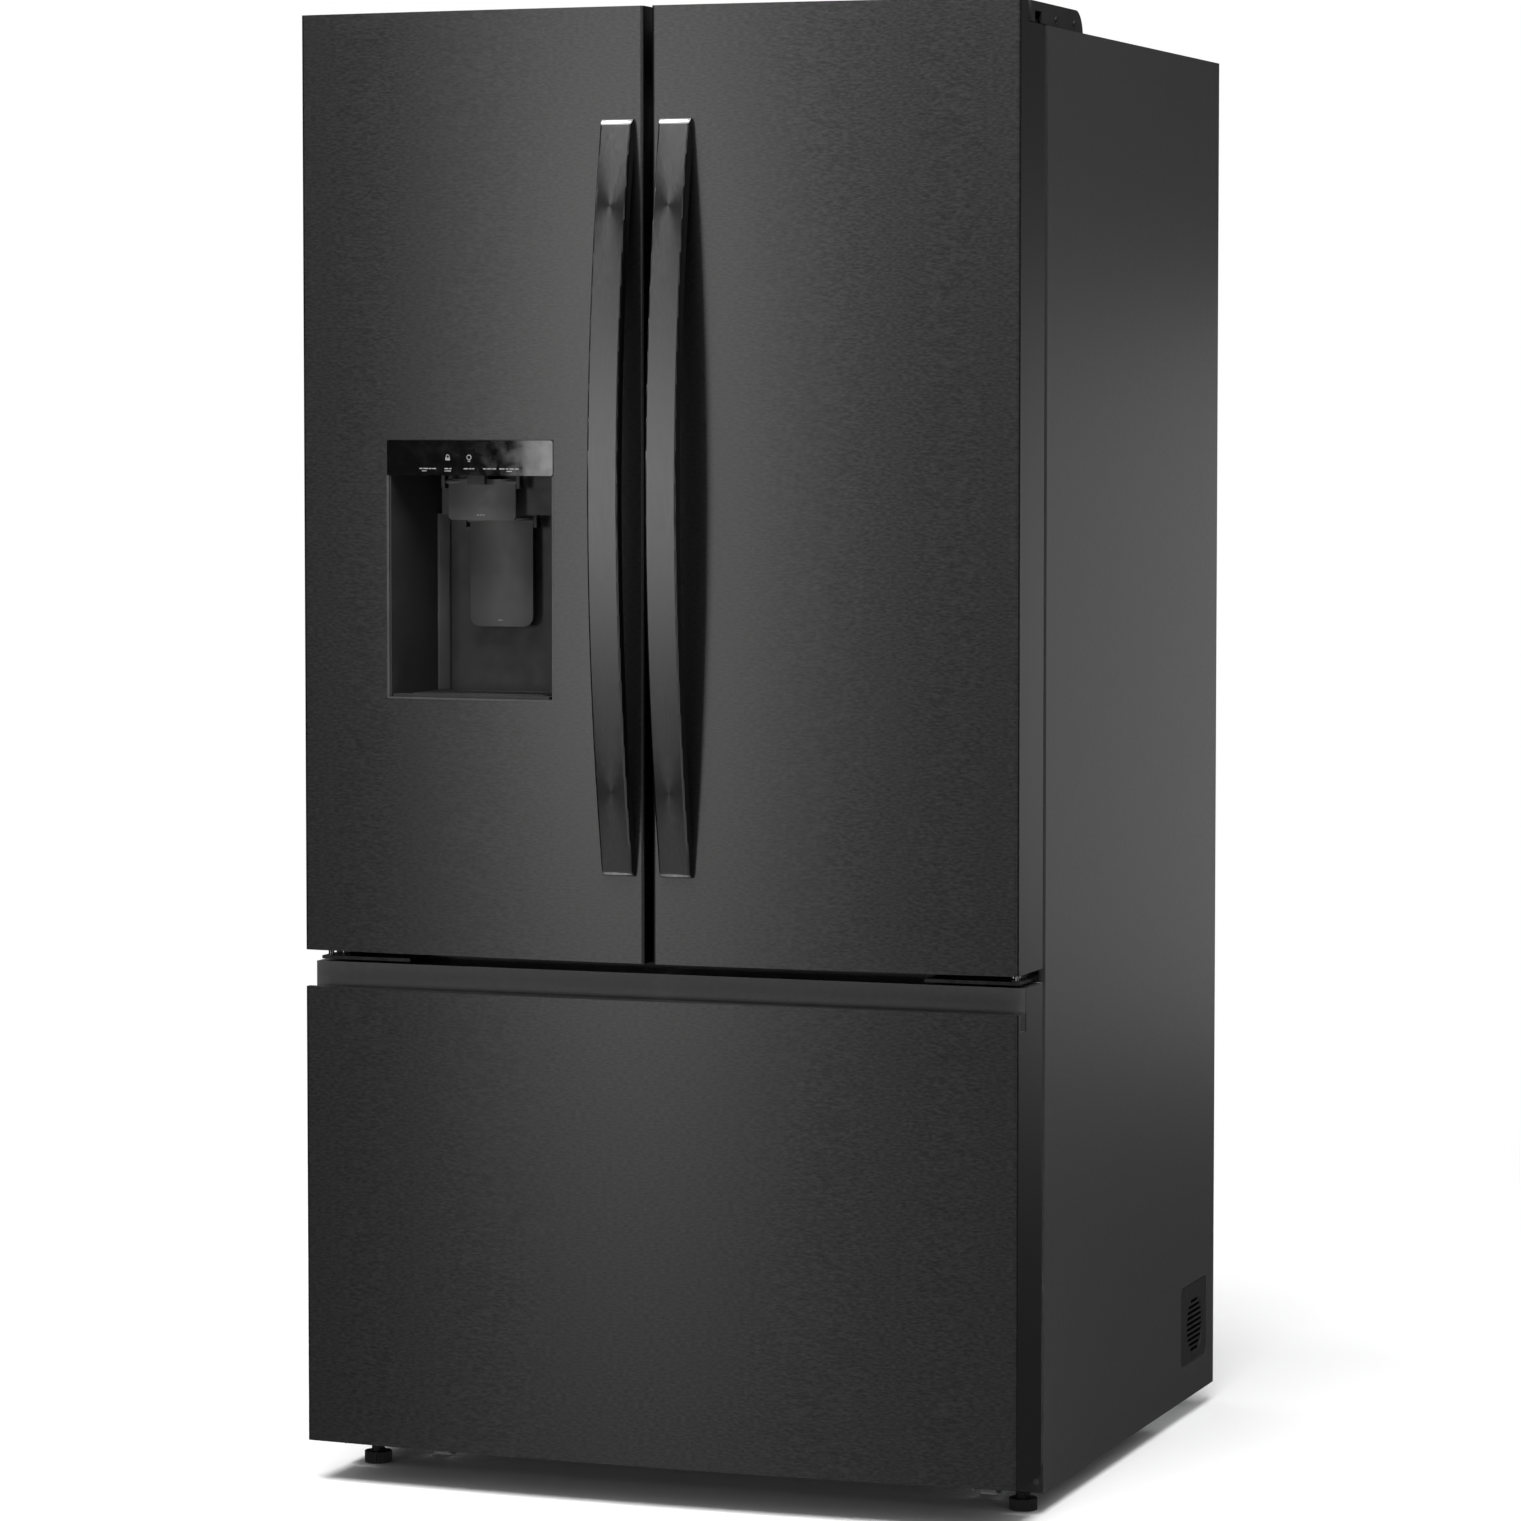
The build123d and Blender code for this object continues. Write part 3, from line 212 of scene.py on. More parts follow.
def beaded(name, low, high, roughness):
    """Galvanised sheet pressed into wide upright beads."""
    made = plated(name, low, high, roughness)
    made.bump(made.waves((1.7, 1.7, 1.7), "X"), 0.5, 0.002)
    return made


finishes = {
    "black_stainless": brushed("black_stainless", grey(0.080, 0.004), grey(0.112, 0.004), 0.33),
    "handle_steel": brushed("handle_steel", grey(0.100), grey(0.112), 0.30, grain=(520.0, 520.0, 60.0)),
    "dark_paint": painted("dark_paint", grey(0.042), grey(0.046), 0.37, specular_ior_level=0.5),
    "zinc_steel": plated("zinc_steel", grey(0.42), grey(0.60, -0.02), 0.38),
    "hinge_steel": plated("hinge_steel", grey(0.05), grey(0.08), 0.42),
    "chrome": brushed("chrome", grey(0.62), grey(0.74), 0.16, grain=(300.0, 300.0, 300.0)),
    "beaded_steel": beaded("beaded_steel", grey(0.42), grey(0.60, -0.02), 0.38),
    "insulation": moulded("insulation", (0.72, 0.60, 0.30), (0.82, 0.72, 0.42), 0.85, 240.0, 0.001, 0.6),
    "white_liner": moulded("white_liner", (0.76, 0.78, 0.80), (0.82, 0.84, 0.85), 0.24, 700.0, 0.0001, 0.10),
    "black_plastic": moulded("black_plastic", grey(0.010), grey(0.017), 0.48),
    "dispenser_plastic": moulded("dispenser_plastic", grey(0.016), grey(0.022), 0.40),
    "paddle_plastic": moulded("paddle_plastic", grey(0.046), grey(0.060), 0.34, 900.0),
    "band_paint": painted("band_paint", grey(0.118), grey(0.130), 0.34, metallic=0.6),
    "gloss_black": moulded("gloss_black", grey(0.0012), grey(0.0020), 0.07, 60.0, 0.0001, 0.02, ior=1.8),
    "gasket_rubber": moulded("gasket_rubber", grey(0.030), grey(0.045), 0.62, 800.0, 0.0001, 0.3),
    "mount_rubber": moulded("mount_rubber", grey(0.010), grey(0.018), 0.75, 600.0, 0.0002, 0.4),
    "shelf_glass": see_through("shelf_glass", (0.90, 0.97, 0.95), 0.02, ior=1.5),
    "clear_plastic": see_through("clear_plastic", (0.93, 0.97, 0.98), 0.07, ior=1.49),
    "grey_plastic": moulded("grey_plastic", grey(0.34, -0.01), grey(0.40, -0.01), 0.42),
    "compressor_paint": painted("compressor_paint", grey(0.008), grey(0.013), 0.28, coat_weight=0.4),
    "fin_aluminium": brushed("fin_aluminium", grey(0.66), grey(0.80), 0.34),
    "black_tube": painted("black_tube", grey(0.012), grey(0.020), 0.38, 500.0),
    "roller_nylon": moulded("roller_nylon", grey(0.06), grey(0.09), 0.50),
    # painted highlight: a lighter grey that stands in for the reflection caught by the dispenser niche's
    # back-left corner
    "corner_highlight_grey": moulded("corner_highlight_grey", grey(0.075), grey(0.09), 0.38, 900.0),
    "panel_ink": moulded("panel_ink", grey(0.24), grey(0.30), 0.60),
    "milky_lens": moulded(
        "milky_lens", grey(0.86), grey(0.92), 0.35, emission_strength=3.0, emission_color=(1.0, 0.98, 0.94)
    ),
    "copper": brushed("copper", (0.70, 0.32, 0.18), (0.80, 0.42, 0.26), 0.28, grain=(200.0, 200.0, 200.0)),
}

OWN_FINISH = {
    "water_paddle": "paddle_plastic",
    "ice_paddle": "paddle_plastic",
    "drawer_grip": "band_paint",
    "hinges": "hinge_steel",
    "left_handle": "handle_steel",
    "right_handle": "handle_steel",
    "back_panel": "beaded_steel",
}

for subpart in frame["record"]["subparts"]:
    cad = nodes[subpart["node"]]
    for place in cad.material_slots:
        place.material = finishes[OWN_FINISH.get(subpart["node"], subpart["material_slot"])].material


# ---------------------------------------------------------------- mesh helpers
class Shape:
    """Solids collected in one mesh, given in millimetres."""

    def __init__(self):
        self.mesh = bmesh.new()

    def soften(self, corners, bevel, segments):
        if bevel:
            edges = {edge for corner in corners for edge in corner.link_edges}
            bmesh.ops.bevel(
                self.mesh, geom=list(edges), offset=bevel, segments=segments, affect="EDGES", profile=0.5
            )

    def block(self, x, y, z, bevel=0.6, segments=2):
        """Box with rounded edges."""
        centre = [(limits[0] + limits[1]) / 2 for limits in (x, y, z)]
        size = [limits[1] - limits[0] for limits in (x, y, z)]
        matrix = Matrix.Translation(centre) @ Matrix.Diagonal((*size, 1.0))
        made = bmesh.ops.create_cube(self.mesh, size=1.0, matrix=matrix)
        self.soften(made["verts"], bevel, segments)
        return self

    def prism(self, outline, along, ends, bevel=0.0, segments=2):
        """Solid with a flat outline, pushed along an axis between two ends.

        The outline holds the other two coordinates in order.
        """
        def corner(point, end):
            place = list(point)
            place.insert(along, end)
            return self.mesh.verts.new(place)

        near = [corner(point, ends[0]) for point in outline]
        far = [corner(point, ends[1]) for point in outline]
        self.mesh.faces.new(near[::-1])
        self.mesh.faces.new(far)
        count = len(outline)
        for i in range(count):
            self.mesh.faces.new((near[i], near[(i + 1) % count], far[(i + 1) % count], far[i]))
        self.soften(near + far, bevel, segments)
        return self

    def loft(self, rings):
        """Solid through rings that have the same number of corners."""
        rows = [[self.mesh.verts.new(place) for place in ring] for ring in rings]
        self.mesh.faces.new(rows[0][::-1])
        self.mesh.faces.new(rows[-1])
        for a, b in zip(rows, rows[1:]):
            for i in range(len(a)):
                j = (i + 1) % len(a)
                self.mesh.faces.new((a[i], a[j], b[j], b[i]))
        return self

    def disc(self, along, radius, ends, centre, bevel=0.5, sides=36, inner=0.0):
        """Round solid, or a ring if inner is set; centre holds the other two coordinates in order."""
        def circle(size, end):
            row = []
            for i in range(sides):
                turn = 2 * math.pi * i / sides
                place = [centre[0] + size * math.cos(turn), centre[1] + size * math.sin(turn)]
                place.insert(along, end)
                row.append(self.mesh.verts.new(place))
            return row

        low, high = ends
        profile = (
            (radius - bevel, low),
            (radius, low + bevel),
            (radius, high - bevel),
            (radius - bevel, high),
        )
        rows = [circle(*turn) for turn in profile]
        if inner:
            rows += [circle(inner, high), circle(inner, low)]
        else:
            self.mesh.faces.new(rows[0][::-1])
            self.mesh.faces.new(rows[-1])
        pairs = list(zip(rows, rows[1:]))
        if inner:
            pairs.append((rows[-1], rows[0]))
        for a, b in pairs:
            for i in range(sides):
                j = (i + 1) % sides
                self.mesh.faces.new((a[i], a[j], b[j], b[i]))
        return self

    def bowed(self, x, z, back, proud, steps=48, bevel=0.0):
        """Bar that follows the bowed door faces, from back behind them to proud in front."""
        outline = []
        for i in range(steps + 1):
            place = x[0] + (x[1] - x[0]) * i / steps
            outline.append((place, bow(place) - proud))
        for i in range(steps, -1, -1):
            place = x[0] + (x[1] - x[0]) * i / steps
            outline.append((place, bow(place) + back))
        return self.prism(outline, Z, z, bevel)

    def piece(self, name, body, slot, finish=None):
        """Turns the solids into a piece that rides on a body."""
        bmesh.ops.recalc_face_normals(self.mesh, faces=self.mesh.faces)
        bmesh.ops.scale(self.mesh, vec=(METRE,) * 3, verts=self.mesh.verts)
        data = bpy.data.meshes.new(name)
        self.mesh.to_mesh(data)
        self.mesh.free()
        for face in data.polygons:
            face.use_smooth = True
        data.set_sharp_from_angle(angle=math.radians(32))
        data.materials.append(finishes[finish or slot].material)
        made = bpy.data.objects.new(name, data)
        bpy.context.scene.collection.objects.link(made)
        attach(made, body)
        return made


def tube(name, body, slot, points, radius, finish=None):
    """Bent pipe through its corner points, in millimetres."""
    curve = bpy.data.curves.new(name, "CURVE")
    curve.dimensions = "3D"
    curve.bevel_depth = radius * METRE
    curve.bevel_resolution = 6
    curve.resolution_u = 10
    line = curve.splines.new("NURBS")
    line.points.add(len(points) - 1)
    for point, place in zip(line.points, points):
        point.co = (*(part * METRE for part in place), 1.0)
    line.order_u = 3
    line.use_endpoint_u = True
    curve.use_fill_caps = True
    curve.materials.append(finishes[finish or slot].material)
    made = bpy.data.objects.new(name, curve)
    bpy.context.scene.collection.objects.link(made)
    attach(made, body)
    return made


# ---------------------------------------------------------------- camera, lights and floor
CAMERA_PLACE = (2.2661, -6.3075, 1.3296)
CAMERA_TURN = 19.848  # degrees from straight ahead, towards the left
CAMERA_DIP = 3.302  # degrees below level
LENS = 126.6
SENSOR_WIDTH = 36.0
SHIFT = -0.040

camera_data = bpy.data.cameras.new("camera")
camera_data.sensor_width = SENSOR_WIDTH
camera_data.lens = LENS
camera_data.shift_y = SHIFT
camera_data.clip_end = 200.0
camera = bpy.data.objects.new("camera", camera_data)
camera.location = CAMERA_PLACE
camera.rotation_euler = Euler((math.radians(90 - CAMERA_DIP), 0.0, math.radians(CAMERA_TURN)))
bpy.context.scene.collection.objects.link(camera)
bpy.context.scene.camera = camera


def softbox(name, place, target, size, power):
    """Rectangular light that the camera doesn't see, in metres and watts."""
    data = bpy.data.lights.new(name, "AREA")
    data.shape = "RECTANGLE"
    data.size, data.size_y = size
    data.energy = power
    light = bpy.data.objects.new(name, data)
    light.location = place
    light.rotation_euler = (Vector(target) - Vector(place)).to_track_quat("-Z", "Y").to_euler()
    light.visible_camera = False
    bpy.context.scene.collection.objects.link(light)


softbox("key", (-1.90, -5.2, 1.19), (0.0, -0.4, 1.19), (0.9, 1.75), 15.6)
softbox("overhead", (0.0, -1.6, 4.2), (0.0, -1.6, 0.0), (4.2, 3.2), 370.0)
softbox("rim", (1.3, 5.1, 0.68), (0.45, 0.2, 0.8), (1.0, 1.6), 5.6)
softbox("edge", (3.7, -2.9, 1.0), (0.2, -0.2, 1.0), (0.25, 2.6), 4.5)

world = bpy.data.worlds.new("studio")
bpy.context.scene.world = world
world.use_nodes = True
sky = world.node_tree
sky.nodes.clear()


def sky_node(kind, **settings):
    made = sky.nodes.new(kind)
    for key, value in settings.items():
        setattr(made, key, value)
    return made


direction = sky_node("ShaderNodeSeparateXYZ")
sky.links.new(sky_node("ShaderNodeTexCoord").outputs["Generated"], direction.inputs["Vector"])
height = sky_node("ShaderNodeMapRange")
height.inputs["From Min"].default_value = -1.0
sky.links.new(direction.outputs["Z"], height.inputs["Value"])
SKY_LEVELS = (  # height from straight down to straight up, and brightness there
    (0.0, 0.9),
    (0.2, 0.5),
    (0.34, 0.12),
    (0.39, 0.01),
    (0.47, 0.01),
    (0.5, 0.03),
    (0.62, 0.10),
    (0.7, 0.2),
    (1.0, 0.5),
)
shades = sky_node("ShaderNodeValToRGB")
for position, level in SKY_LEVELS:
    if position in (0.0, 1.0):
        stop = shades.color_ramp.elements[int(position)]
    else:
        stop = shades.color_ramp.elements.new(position)
    stop.color = (level, level, level, 1.0)
sky.links.new(height.outputs["Result"], shades.inputs["Fac"])
soft_sky = sky_node("ShaderNodeBackground")
sky.links.new(shades.outputs["Color"], soft_sky.inputs["Color"])
backdrop = sky_node("ShaderNodeBackground")
backdrop.inputs["Color"].default_value = (1.0, 1.0, 1.0, 1.0)
backdrop.inputs["Strength"].default_value = 1.0
choice = sky_node("ShaderNodeMixShader")
sky.links.new(sky_node("ShaderNodeLightPath").outputs["Is Camera Ray"], choice.inputs[0])
sky.links.new(soft_sky.outputs[0], choice.inputs[1])
sky.links.new(backdrop.outputs[0], choice.inputs[2])
sky.links.new(choice.outputs[0], sky_node("ShaderNodeOutputWorld").inputs["Surface"])

FLOOR_RADIUS = 6.0
FLOOR_FADE = (0.30, 0.30, 0.30)  # the floor fades out over the inverse of this, in metres

floor_mesh = bmesh.new()
bmesh.ops.create_circle(floor_mesh, cap_ends=True, radius=FLOOR_RADIUS, segments=96)
floor_data = bpy.data.meshes.new("floor")
floor_mesh.to_mesh(floor_data)
floor_mesh.free()
floor = bpy.data.objects.new("floor", floor_data)
bpy.context.scene.collection.objects.link(floor)
floor_finish = Finish("pale_floor", roughness=0.9)
floor_finish.colour(floor_finish.noise((3.0,) * 3), grey(0.96), grey(0.98))
fade = floor_finish.node("ShaderNodeTexGradient", gradient_type="SPHERICAL")
floor_finish.link(floor_finish.stretched(FLOOR_FADE), fade.inputs["Vector"])
solid = floor_finish.node("ShaderNodeMapRange", interpolation_type="SMOOTHSTEP")
solid.inputs["From Min"].default_value = 0.05
solid.inputs["From Max"].default_value = 0.60
floor_finish.link(fade.outputs["Fac"], solid.inputs["Value"])
floor_finish.link(solid.outputs["Result"], floor_finish.shader.inputs["Alpha"])
floor_data.materials.append(floor_finish.material)
floor.visible_glossy = False

bpy.context.scene.view_settings.view_transform = "Standard"

# ---------------------------------------------------------------- door fronts
HANDLE_X = span("right_handle", X)
HANDLE_Z = span("right_handle", Z)
HANDLE_END = bow(0) - 10.0  # front of the handles' chamfered ends
CHAMFER = 6.0
CAP_STATIONS = 24
CAP_PROUD = 0.25
CAP_SUNK = 0.4
CAP_INSET = 1.5

for side, name in ((1, "right"), (-1, "left")):
    low_x, high_x = sorted(side * x for x in HANDLE_X)
    caps = Shape()
    for edge, inward in ((HANDLE_Z[1], -1), (HANDLE_Z[0], 1)):
        rings = []
        for i in range(CAP_STATIONS + 1):
            run = i / CAP_STATIONS
            half = 0.15 + 1.9 * math.sqrt(max(0.0, 1 - (2 * run - 0.85) ** 2 / 1.35))
            x = low_x + CAP_INSET + (high_x - low_x - 2 * CAP_INSET) * run
            ring = []
            section = ((-half, CAP_PROUD), (half, CAP_PROUD), (half, -CAP_SUNK), (-half, -CAP_SUNK))
            for along, out in section:
                y = HANDLE_END + CHAMFER / 2 + (along - out) / math.sqrt(2)
                rise = CHAMFER / 2 - (along + out) / math.sqrt(2)
                ring.append((x, y, edge + inward * rise))
            rings.append(ring)
        caps.loft(rings)
    caps.piece(f"{name}_handle_caps", f"{name}_door", "chrome")

DOOR_BOTTOM = span("right_door_skin", Z)[0]
HEM = 2.4
for name in ("left", "right"):
    x = span(f"{name}_door_skin", X)
    hem = Shape().bowed((x[0] + 4, x[1] - 4), (DOOR_BOTTOM, DOOR_BOTTOM + HEM), 2.0, 0.35)
    hem.piece(f"{name}_door_hem", f"{name}_door", "black_stainless")

# ---------------------------------------------------------------- dispenser
PANEL_X = span("control_panel", X)
PANEL_Z = span("control_panel", Z)
PANEL_PROUD = 0.6
INK = 0.25
KEY_LABELS = (  # start of each row of bars, and their lengths
    (-295.5, (4.0, 6.5, 3.0, 5.0)),
    (-262.3, (5.0, 3.2)),
    (-237.1, (6.0, 3.0, 2.6)),
    (-211.4, (4.0, 5.5, 5.0)),
    (-190.2, (7.0, 3.5, 6.0, 5.0)),
)
BAR_GAP = 1.2
LOCK_X = -258.0
LAMP_X = -230.0


def mark(shape, x, z, thickness=1.3):
    """Printed bar on the control panel."""
    y = bow((x[0] + x[1]) / 2) - PANEL_PROUD
    shape.block(x, (y - INK, y + 1.0), (z - thickness / 2, z + thickness / 2), 0.1, 1)


def ring_mark(shape, x, z, radius, inner):
    """Printed ring on the control panel."""
    shape.disc(Y, radius, (bow(x) - PANEL_PROUD - INK, bow(x)), (x, z), 0.1, 24, inner)


marks = Shape()
row = PANEL_Z[0] + 8.0
for start, lengths in KEY_LABELS:
    x = start
    for length in lengths:
        mark(marks, (x, x + length), row)
        x += length + BAR_GAP
for x in ((-262.3, -253.6), (-292.0, -286.0), (-181.0, -174.0)):
    mark(marks, x, row - 2.8, 1.0)
icon_z = PANEL_Z[0] + 21.0
mark(marks, (LOCK_X - 3.0, LOCK_X + 3.0), icon_z - 1.4, 3.4)
ring_mark(marks, LOCK_X, icon_z + 1.6, 2.4, 1.6)
ring_mark(marks, LAMP_X, icon_z + 0.6, 3.2, 2.3)
mark(marks, (LAMP_X - 1.6, LAMP_X + 1.6), icon_z - 4.0, 1.0)
marks.piece("control_marks", "left_door", "grey_plastic", "panel_ink")

for name, drop, width in (("water_paddle", 5.5, 11.0), ("ice_paddle", 7.0, 6.0)):
    centre = sum(span(name, X)) / 2
    front = span(name, Y)[0]
    low = span(name, Z)[0] + drop
    dash = Shape()
    pieces = 3 if width > 8 else 2
    step = width / pieces
    for i in range(pieces):
        x = centre - width / 2 + i * step
        dash.block((x, x + step - 0.9), (front - 0.2, front + 0.6), (low, low + 1.3), 0.1, 1)
    dash.piece(f"{name}_mark", name, "grey_plastic", "panel_ink")

NICHE_FLOOR = 963.0
GRILLE_X = (-314.0, -145.0)
SLATS = 24
SLAT_PITCH = 7.25

grille = Shape()
for y in ((at(12), at(15)), (at(80), at(83))):
    grille.block(GRILLE_X, y, (NICHE_FLOOR, NICHE_FLOOR + 4), 0.5)
for i in range(SLATS):
    x = GRILLE_X[0] + 1.0 + i * SLAT_PITCH
    grille.block((x, x + 3.0), (at(14), at(81)), (NICHE_FLOOR + 0.6, NICHE_FLOOR + 3.4), 0.5)
grille.piece("drip_grille", "left_door", "black_plastic")

# ---------------------------------------------------------------- dispenser recess
HEAD_Z = span("ice_paddle", Z)[1] + 5
NICHE_BACK = at(100)
CORNER_OUTLINE = [
    (-313.0, NICHE_BACK + 1),
    (-312.5, NICHE_BACK - 17),
    (-310.0, NICHE_BACK - 17),
    (-301.5, NICHE_BACK - 5),
    (-301.5, NICHE_BACK + 1),
]
corner = Shape()
corner.prism(CORNER_OUTLINE, Z, (NICHE_FLOOR + 4, HEAD_Z), 0.8)
# the corner strip gets a lighter grey as a painted highlight, standing in for the reflection on the concave
# corner
corner.piece("niche_corner", "left_door", "dispenser_plastic", "corner_highlight_grey")

EDGE_Z = (NICHE_FLOOR - 2.6, NICHE_FLOOR - 0.6)
EDGE_DEPTH = 1.5
EDGE_LEFT, EDGE_RIGHT = PANEL_X[0] + 2.0, PANEL_X[1] - 1.2
edges = Shape()
for x in ((PANEL_X[0] - 0.8, EDGE_LEFT), (EDGE_RIGHT, PANEL_X[1] + 0.8)):
    edges.bowed(x, (EDGE_Z[0], PANEL_Z[0] - 0.4), EDGE_DEPTH, 0.3)
edges.bowed((EDGE_LEFT, EDGE_RIGHT), EDGE_Z, EDGE_DEPTH, 0.3)
edges.piece("niche_edges", "left_door", "dispenser_plastic", "paddle_plastic")

SEAL = 0.9
SEAL_GAP = 0.05
seal = Shape()
for x in ((PANEL_X[0] - SEAL, PANEL_X[0] - SEAL_GAP), (PANEL_X[1] + SEAL_GAP, PANEL_X[1] + SEAL)):
    seal.bowed(x, PANEL_Z, EDGE_DEPTH, 0.25, 4)
seal_top = (PANEL_Z[1] + SEAL_GAP, PANEL_Z[1] + SEAL)
seal.bowed((PANEL_X[0] - SEAL, PANEL_X[1] + SEAL), seal_top, EDGE_DEPTH, 0.25)
seal.piece("panel_seal", "left_door", "black_plastic")

SPOUT = (-228.0, at(41))
spout = Shape()
spout.disc(Z, 6.5, (HEAD_Z + 8, HEAD_Z + 22), SPOUT, 1.0, 36, 3.2)
spout.disc(Z, 4.6, (HEAD_Z + 4, HEAD_Z + 8.4), SPOUT, 0.6, 36, 3.2)
spout.piece("water_spout", "left_door", "black_plastic")
lamp = Shape().block((-264, -234), (at(50), at(58)), (HEAD_Z - 2.2, HEAD_Z + 0.4), 0.6)
lamp.piece("niche_lamp", "left_door", "white_liner", "milky_lens")

# ---------------------------------------------------------------- machine compartment walls
MACHINE_FRONT = span("machine_base", Y)[0] - 2.0
MACHINE_TOP = span("machine_base", Z)[1] + 1.0
WALL_X = (-HALF + 4.0, HALF - 4.0)
CEILING_Y = (MACHINE_FRONT + 0.3, span("back_panel", Y)[0] - 1.0)
WALL_Z = (span("cabinet_foam", Z)[0], MACHINE_TOP - 0.9)
walls = Shape()
walls.block(WALL_X, CEILING_Y, (WALL_Z[1], MACHINE_TOP - 0.2), 0.2, 1)
walls.block(WALL_X, (CEILING_Y[0], MACHINE_FRONT + 1.2), WALL_Z, 0.2, 1)
walls.piece("machine_walls", "cabinet", "zinc_steel")

# ---------------------------------------------------------------- hinges and cabinet outside
CASE_TOP = span("outer_wrapper", Z)[1]
CASE_FRONT = span("outer_wrapper", Y)[0]
BACK = span("back_panel", Y)[1]
PIN_X, PIN_DEPTH = 430.0, 70.0
PLATE_TOP = 642.0
COVER_X = (354.0, 446.0)

fronts = Shape()
for x in both(COVER_X):
    fronts.block(x, (at(34), at(49.6)), (CASE_TOP + 1.2, CASE_TOP + 24), 1.2)
fronts.piece("hinge_cover_seals", "cabinet", "black_plastic")

bushes = Shape()
for side in (-1, 1):
    bushes.disc(Z, 11.6, (PLATE_TOP + 0.4, PLATE_TOP + 8.6), (side * PIN_X, at(PIN_DEPTH)), 0.8, 48, 10.1)
bushes.piece("hinge_bushes", "cabinet", "chrome")

trim = Shape()
trim.block((-340, 340), (CASE_FRONT + 3, CASE_FRONT + 21), (CASE_TOP, CASE_TOP + 2.4), 0.8)
for x in both((300, 312)):
    trim.block(x, (CASE_FRONT + 21, CASE_FRONT + 60), (CASE_TOP, CASE_TOP + 2.0), 0.8)
trim.piece("top_wire_cover", "cabinet", "dark_paint")

beads = Shape()
for y in range(-60, 420, 110):
    beads.block((-380, 380), (y, y + 22), (CASE_TOP - 0.5, CASE_TOP + 1.4), 1.2, 3)
beads.piece("top_beads", "cabinet", "dark_paint")

screws = Shape()
for side in (-1, 1):
    for y in (at(150), at(225)):
        screws.disc(X, 4.2, sorted((side * 449.6, side * 451.2)), (y, CASE_TOP + 9), 0.5, 24)
screws.piece("hinge_cover_screws", "cabinet", "chrome", "hinge_steel")

# ---------------------------------------------------------------- fridge compartment
GLASS_Z = (1110.0, 1270.0, 1450.0)
GLASS_Y = span("glass_shelves", Y)
PANE_X = (5.0, 395.0)
INSIDE_X = 400.0
CEILING = 1700.0

trims = Shape()
for level in GLASS_Z:
    for x in both(PANE_X):
        low_x, high_x = x[0] + 0.5, x[1] - 0.5
        trims.block((low_x, high_x), (GLASS_Y[0] - 3, GLASS_Y[0] + 9), (level - 3, level + 8), 2.0, 3)
        trims.block((low_x, high_x), (GLASS_Y[1] - 8, GLASS_Y[1] + 1), (level - 2, level + 12), 1.2)
        for rail in ((low_x, x[0] + 6), (x[1] - 6, high_x)):
            trims.block(rail, (GLASS_Y[0] + 8, GLASS_Y[1] - 6), (level - 2, level + 6.5), 1.2)
trims.piece("shelf_trims", "cabinet", "grey_plastic")

stripes = Shape()
for level in GLASS_Z:
    for x in both(PANE_X):
        y = (GLASS_Y[0] - 3.6, GLASS_Y[0] - 2.4)
        stripes.block((x[0] + 6, x[1] - 6), y, (level + 1, level + 5), 0.4)
stripes.piece("shelf_stripes", "cabinet", "chrome")

ledges = Shape()
for level in GLASS_Z:
    for x in both((INSIDE_X - 4, INSIDE_X + 0.5)):
        ledges.block(x, (-160, 375), (level - 13, level - 5), 1.6, 3)
for x in both((INSIDE_X - 3, INSIDE_X + 0.5)):
    for y in (-60, 60, 180, 300):
        ledges.block(x, (y - 9, y + 9), (1000, 1086), 1.4, 3)
        ledges.block(x, (y - 9, y + 9), (1520, 1670), 1.4, 3)
ledges.piece("liner_ledges", "cabinet", "white_liner")

lamps = Shape()
lamps.block((-170, 170), (-110, -50), (CEILING - 2.6, CEILING + 0.5), 1.2, 3)
for x in both((INSIDE_X - 2.4, INSIDE_X + 0.5)):
    lamps.block(x, (-215, -203), (1130, 1640), 1.0)
lamps.block((-45, 45), (-150, -118), (595.6, 598.5), 1.2, 3)
lamps.piece("lamp_lenses", "cabinet", "white_liner", "milky_lens")

control = Shape()
control.block((-130, 130), (-272, -222), (CEILING - 2.8, CEILING + 0.5), 1.2, 3)
control.piece("ceiling_control", "cabinet", "grey_plastic")
keys = Shape()
for x in range(-104, 105, 26):
    keys.disc(Z, 5.0, (CEILING - 3.2, CEILING - 2.4), (x, -247), 0.3, 32)
keys.piece("ceiling_keys", "cabinet", "grey_plastic", "panel_ink")

duct = Shape()
duct.block((-66, 66), (401.4, 403.4), (956, 1694), 0.8)
for level in range(1030, 1640, 150):
    for x in both((12, 58)):
        for i in range(3):
            duct.block(x, (400.2, 402), (level + 14 * i - 14, level + 14 * i - 9), 0.6)
duct.piece("duct_grilles", "cabinet", "white_liner")

# ---------------------------------------------------------------- crispers
COVER_FRONT = span("crisper_cover", Y)[0]
COVER_TOP = span("crisper_cover", Z)[1]
CRISPER_FRONT = -115.0
CRISPER_TOP = span("left_crisper", Z)[1]
CRISPER_BACK = 370.0
RIB_PITCH = 38.0

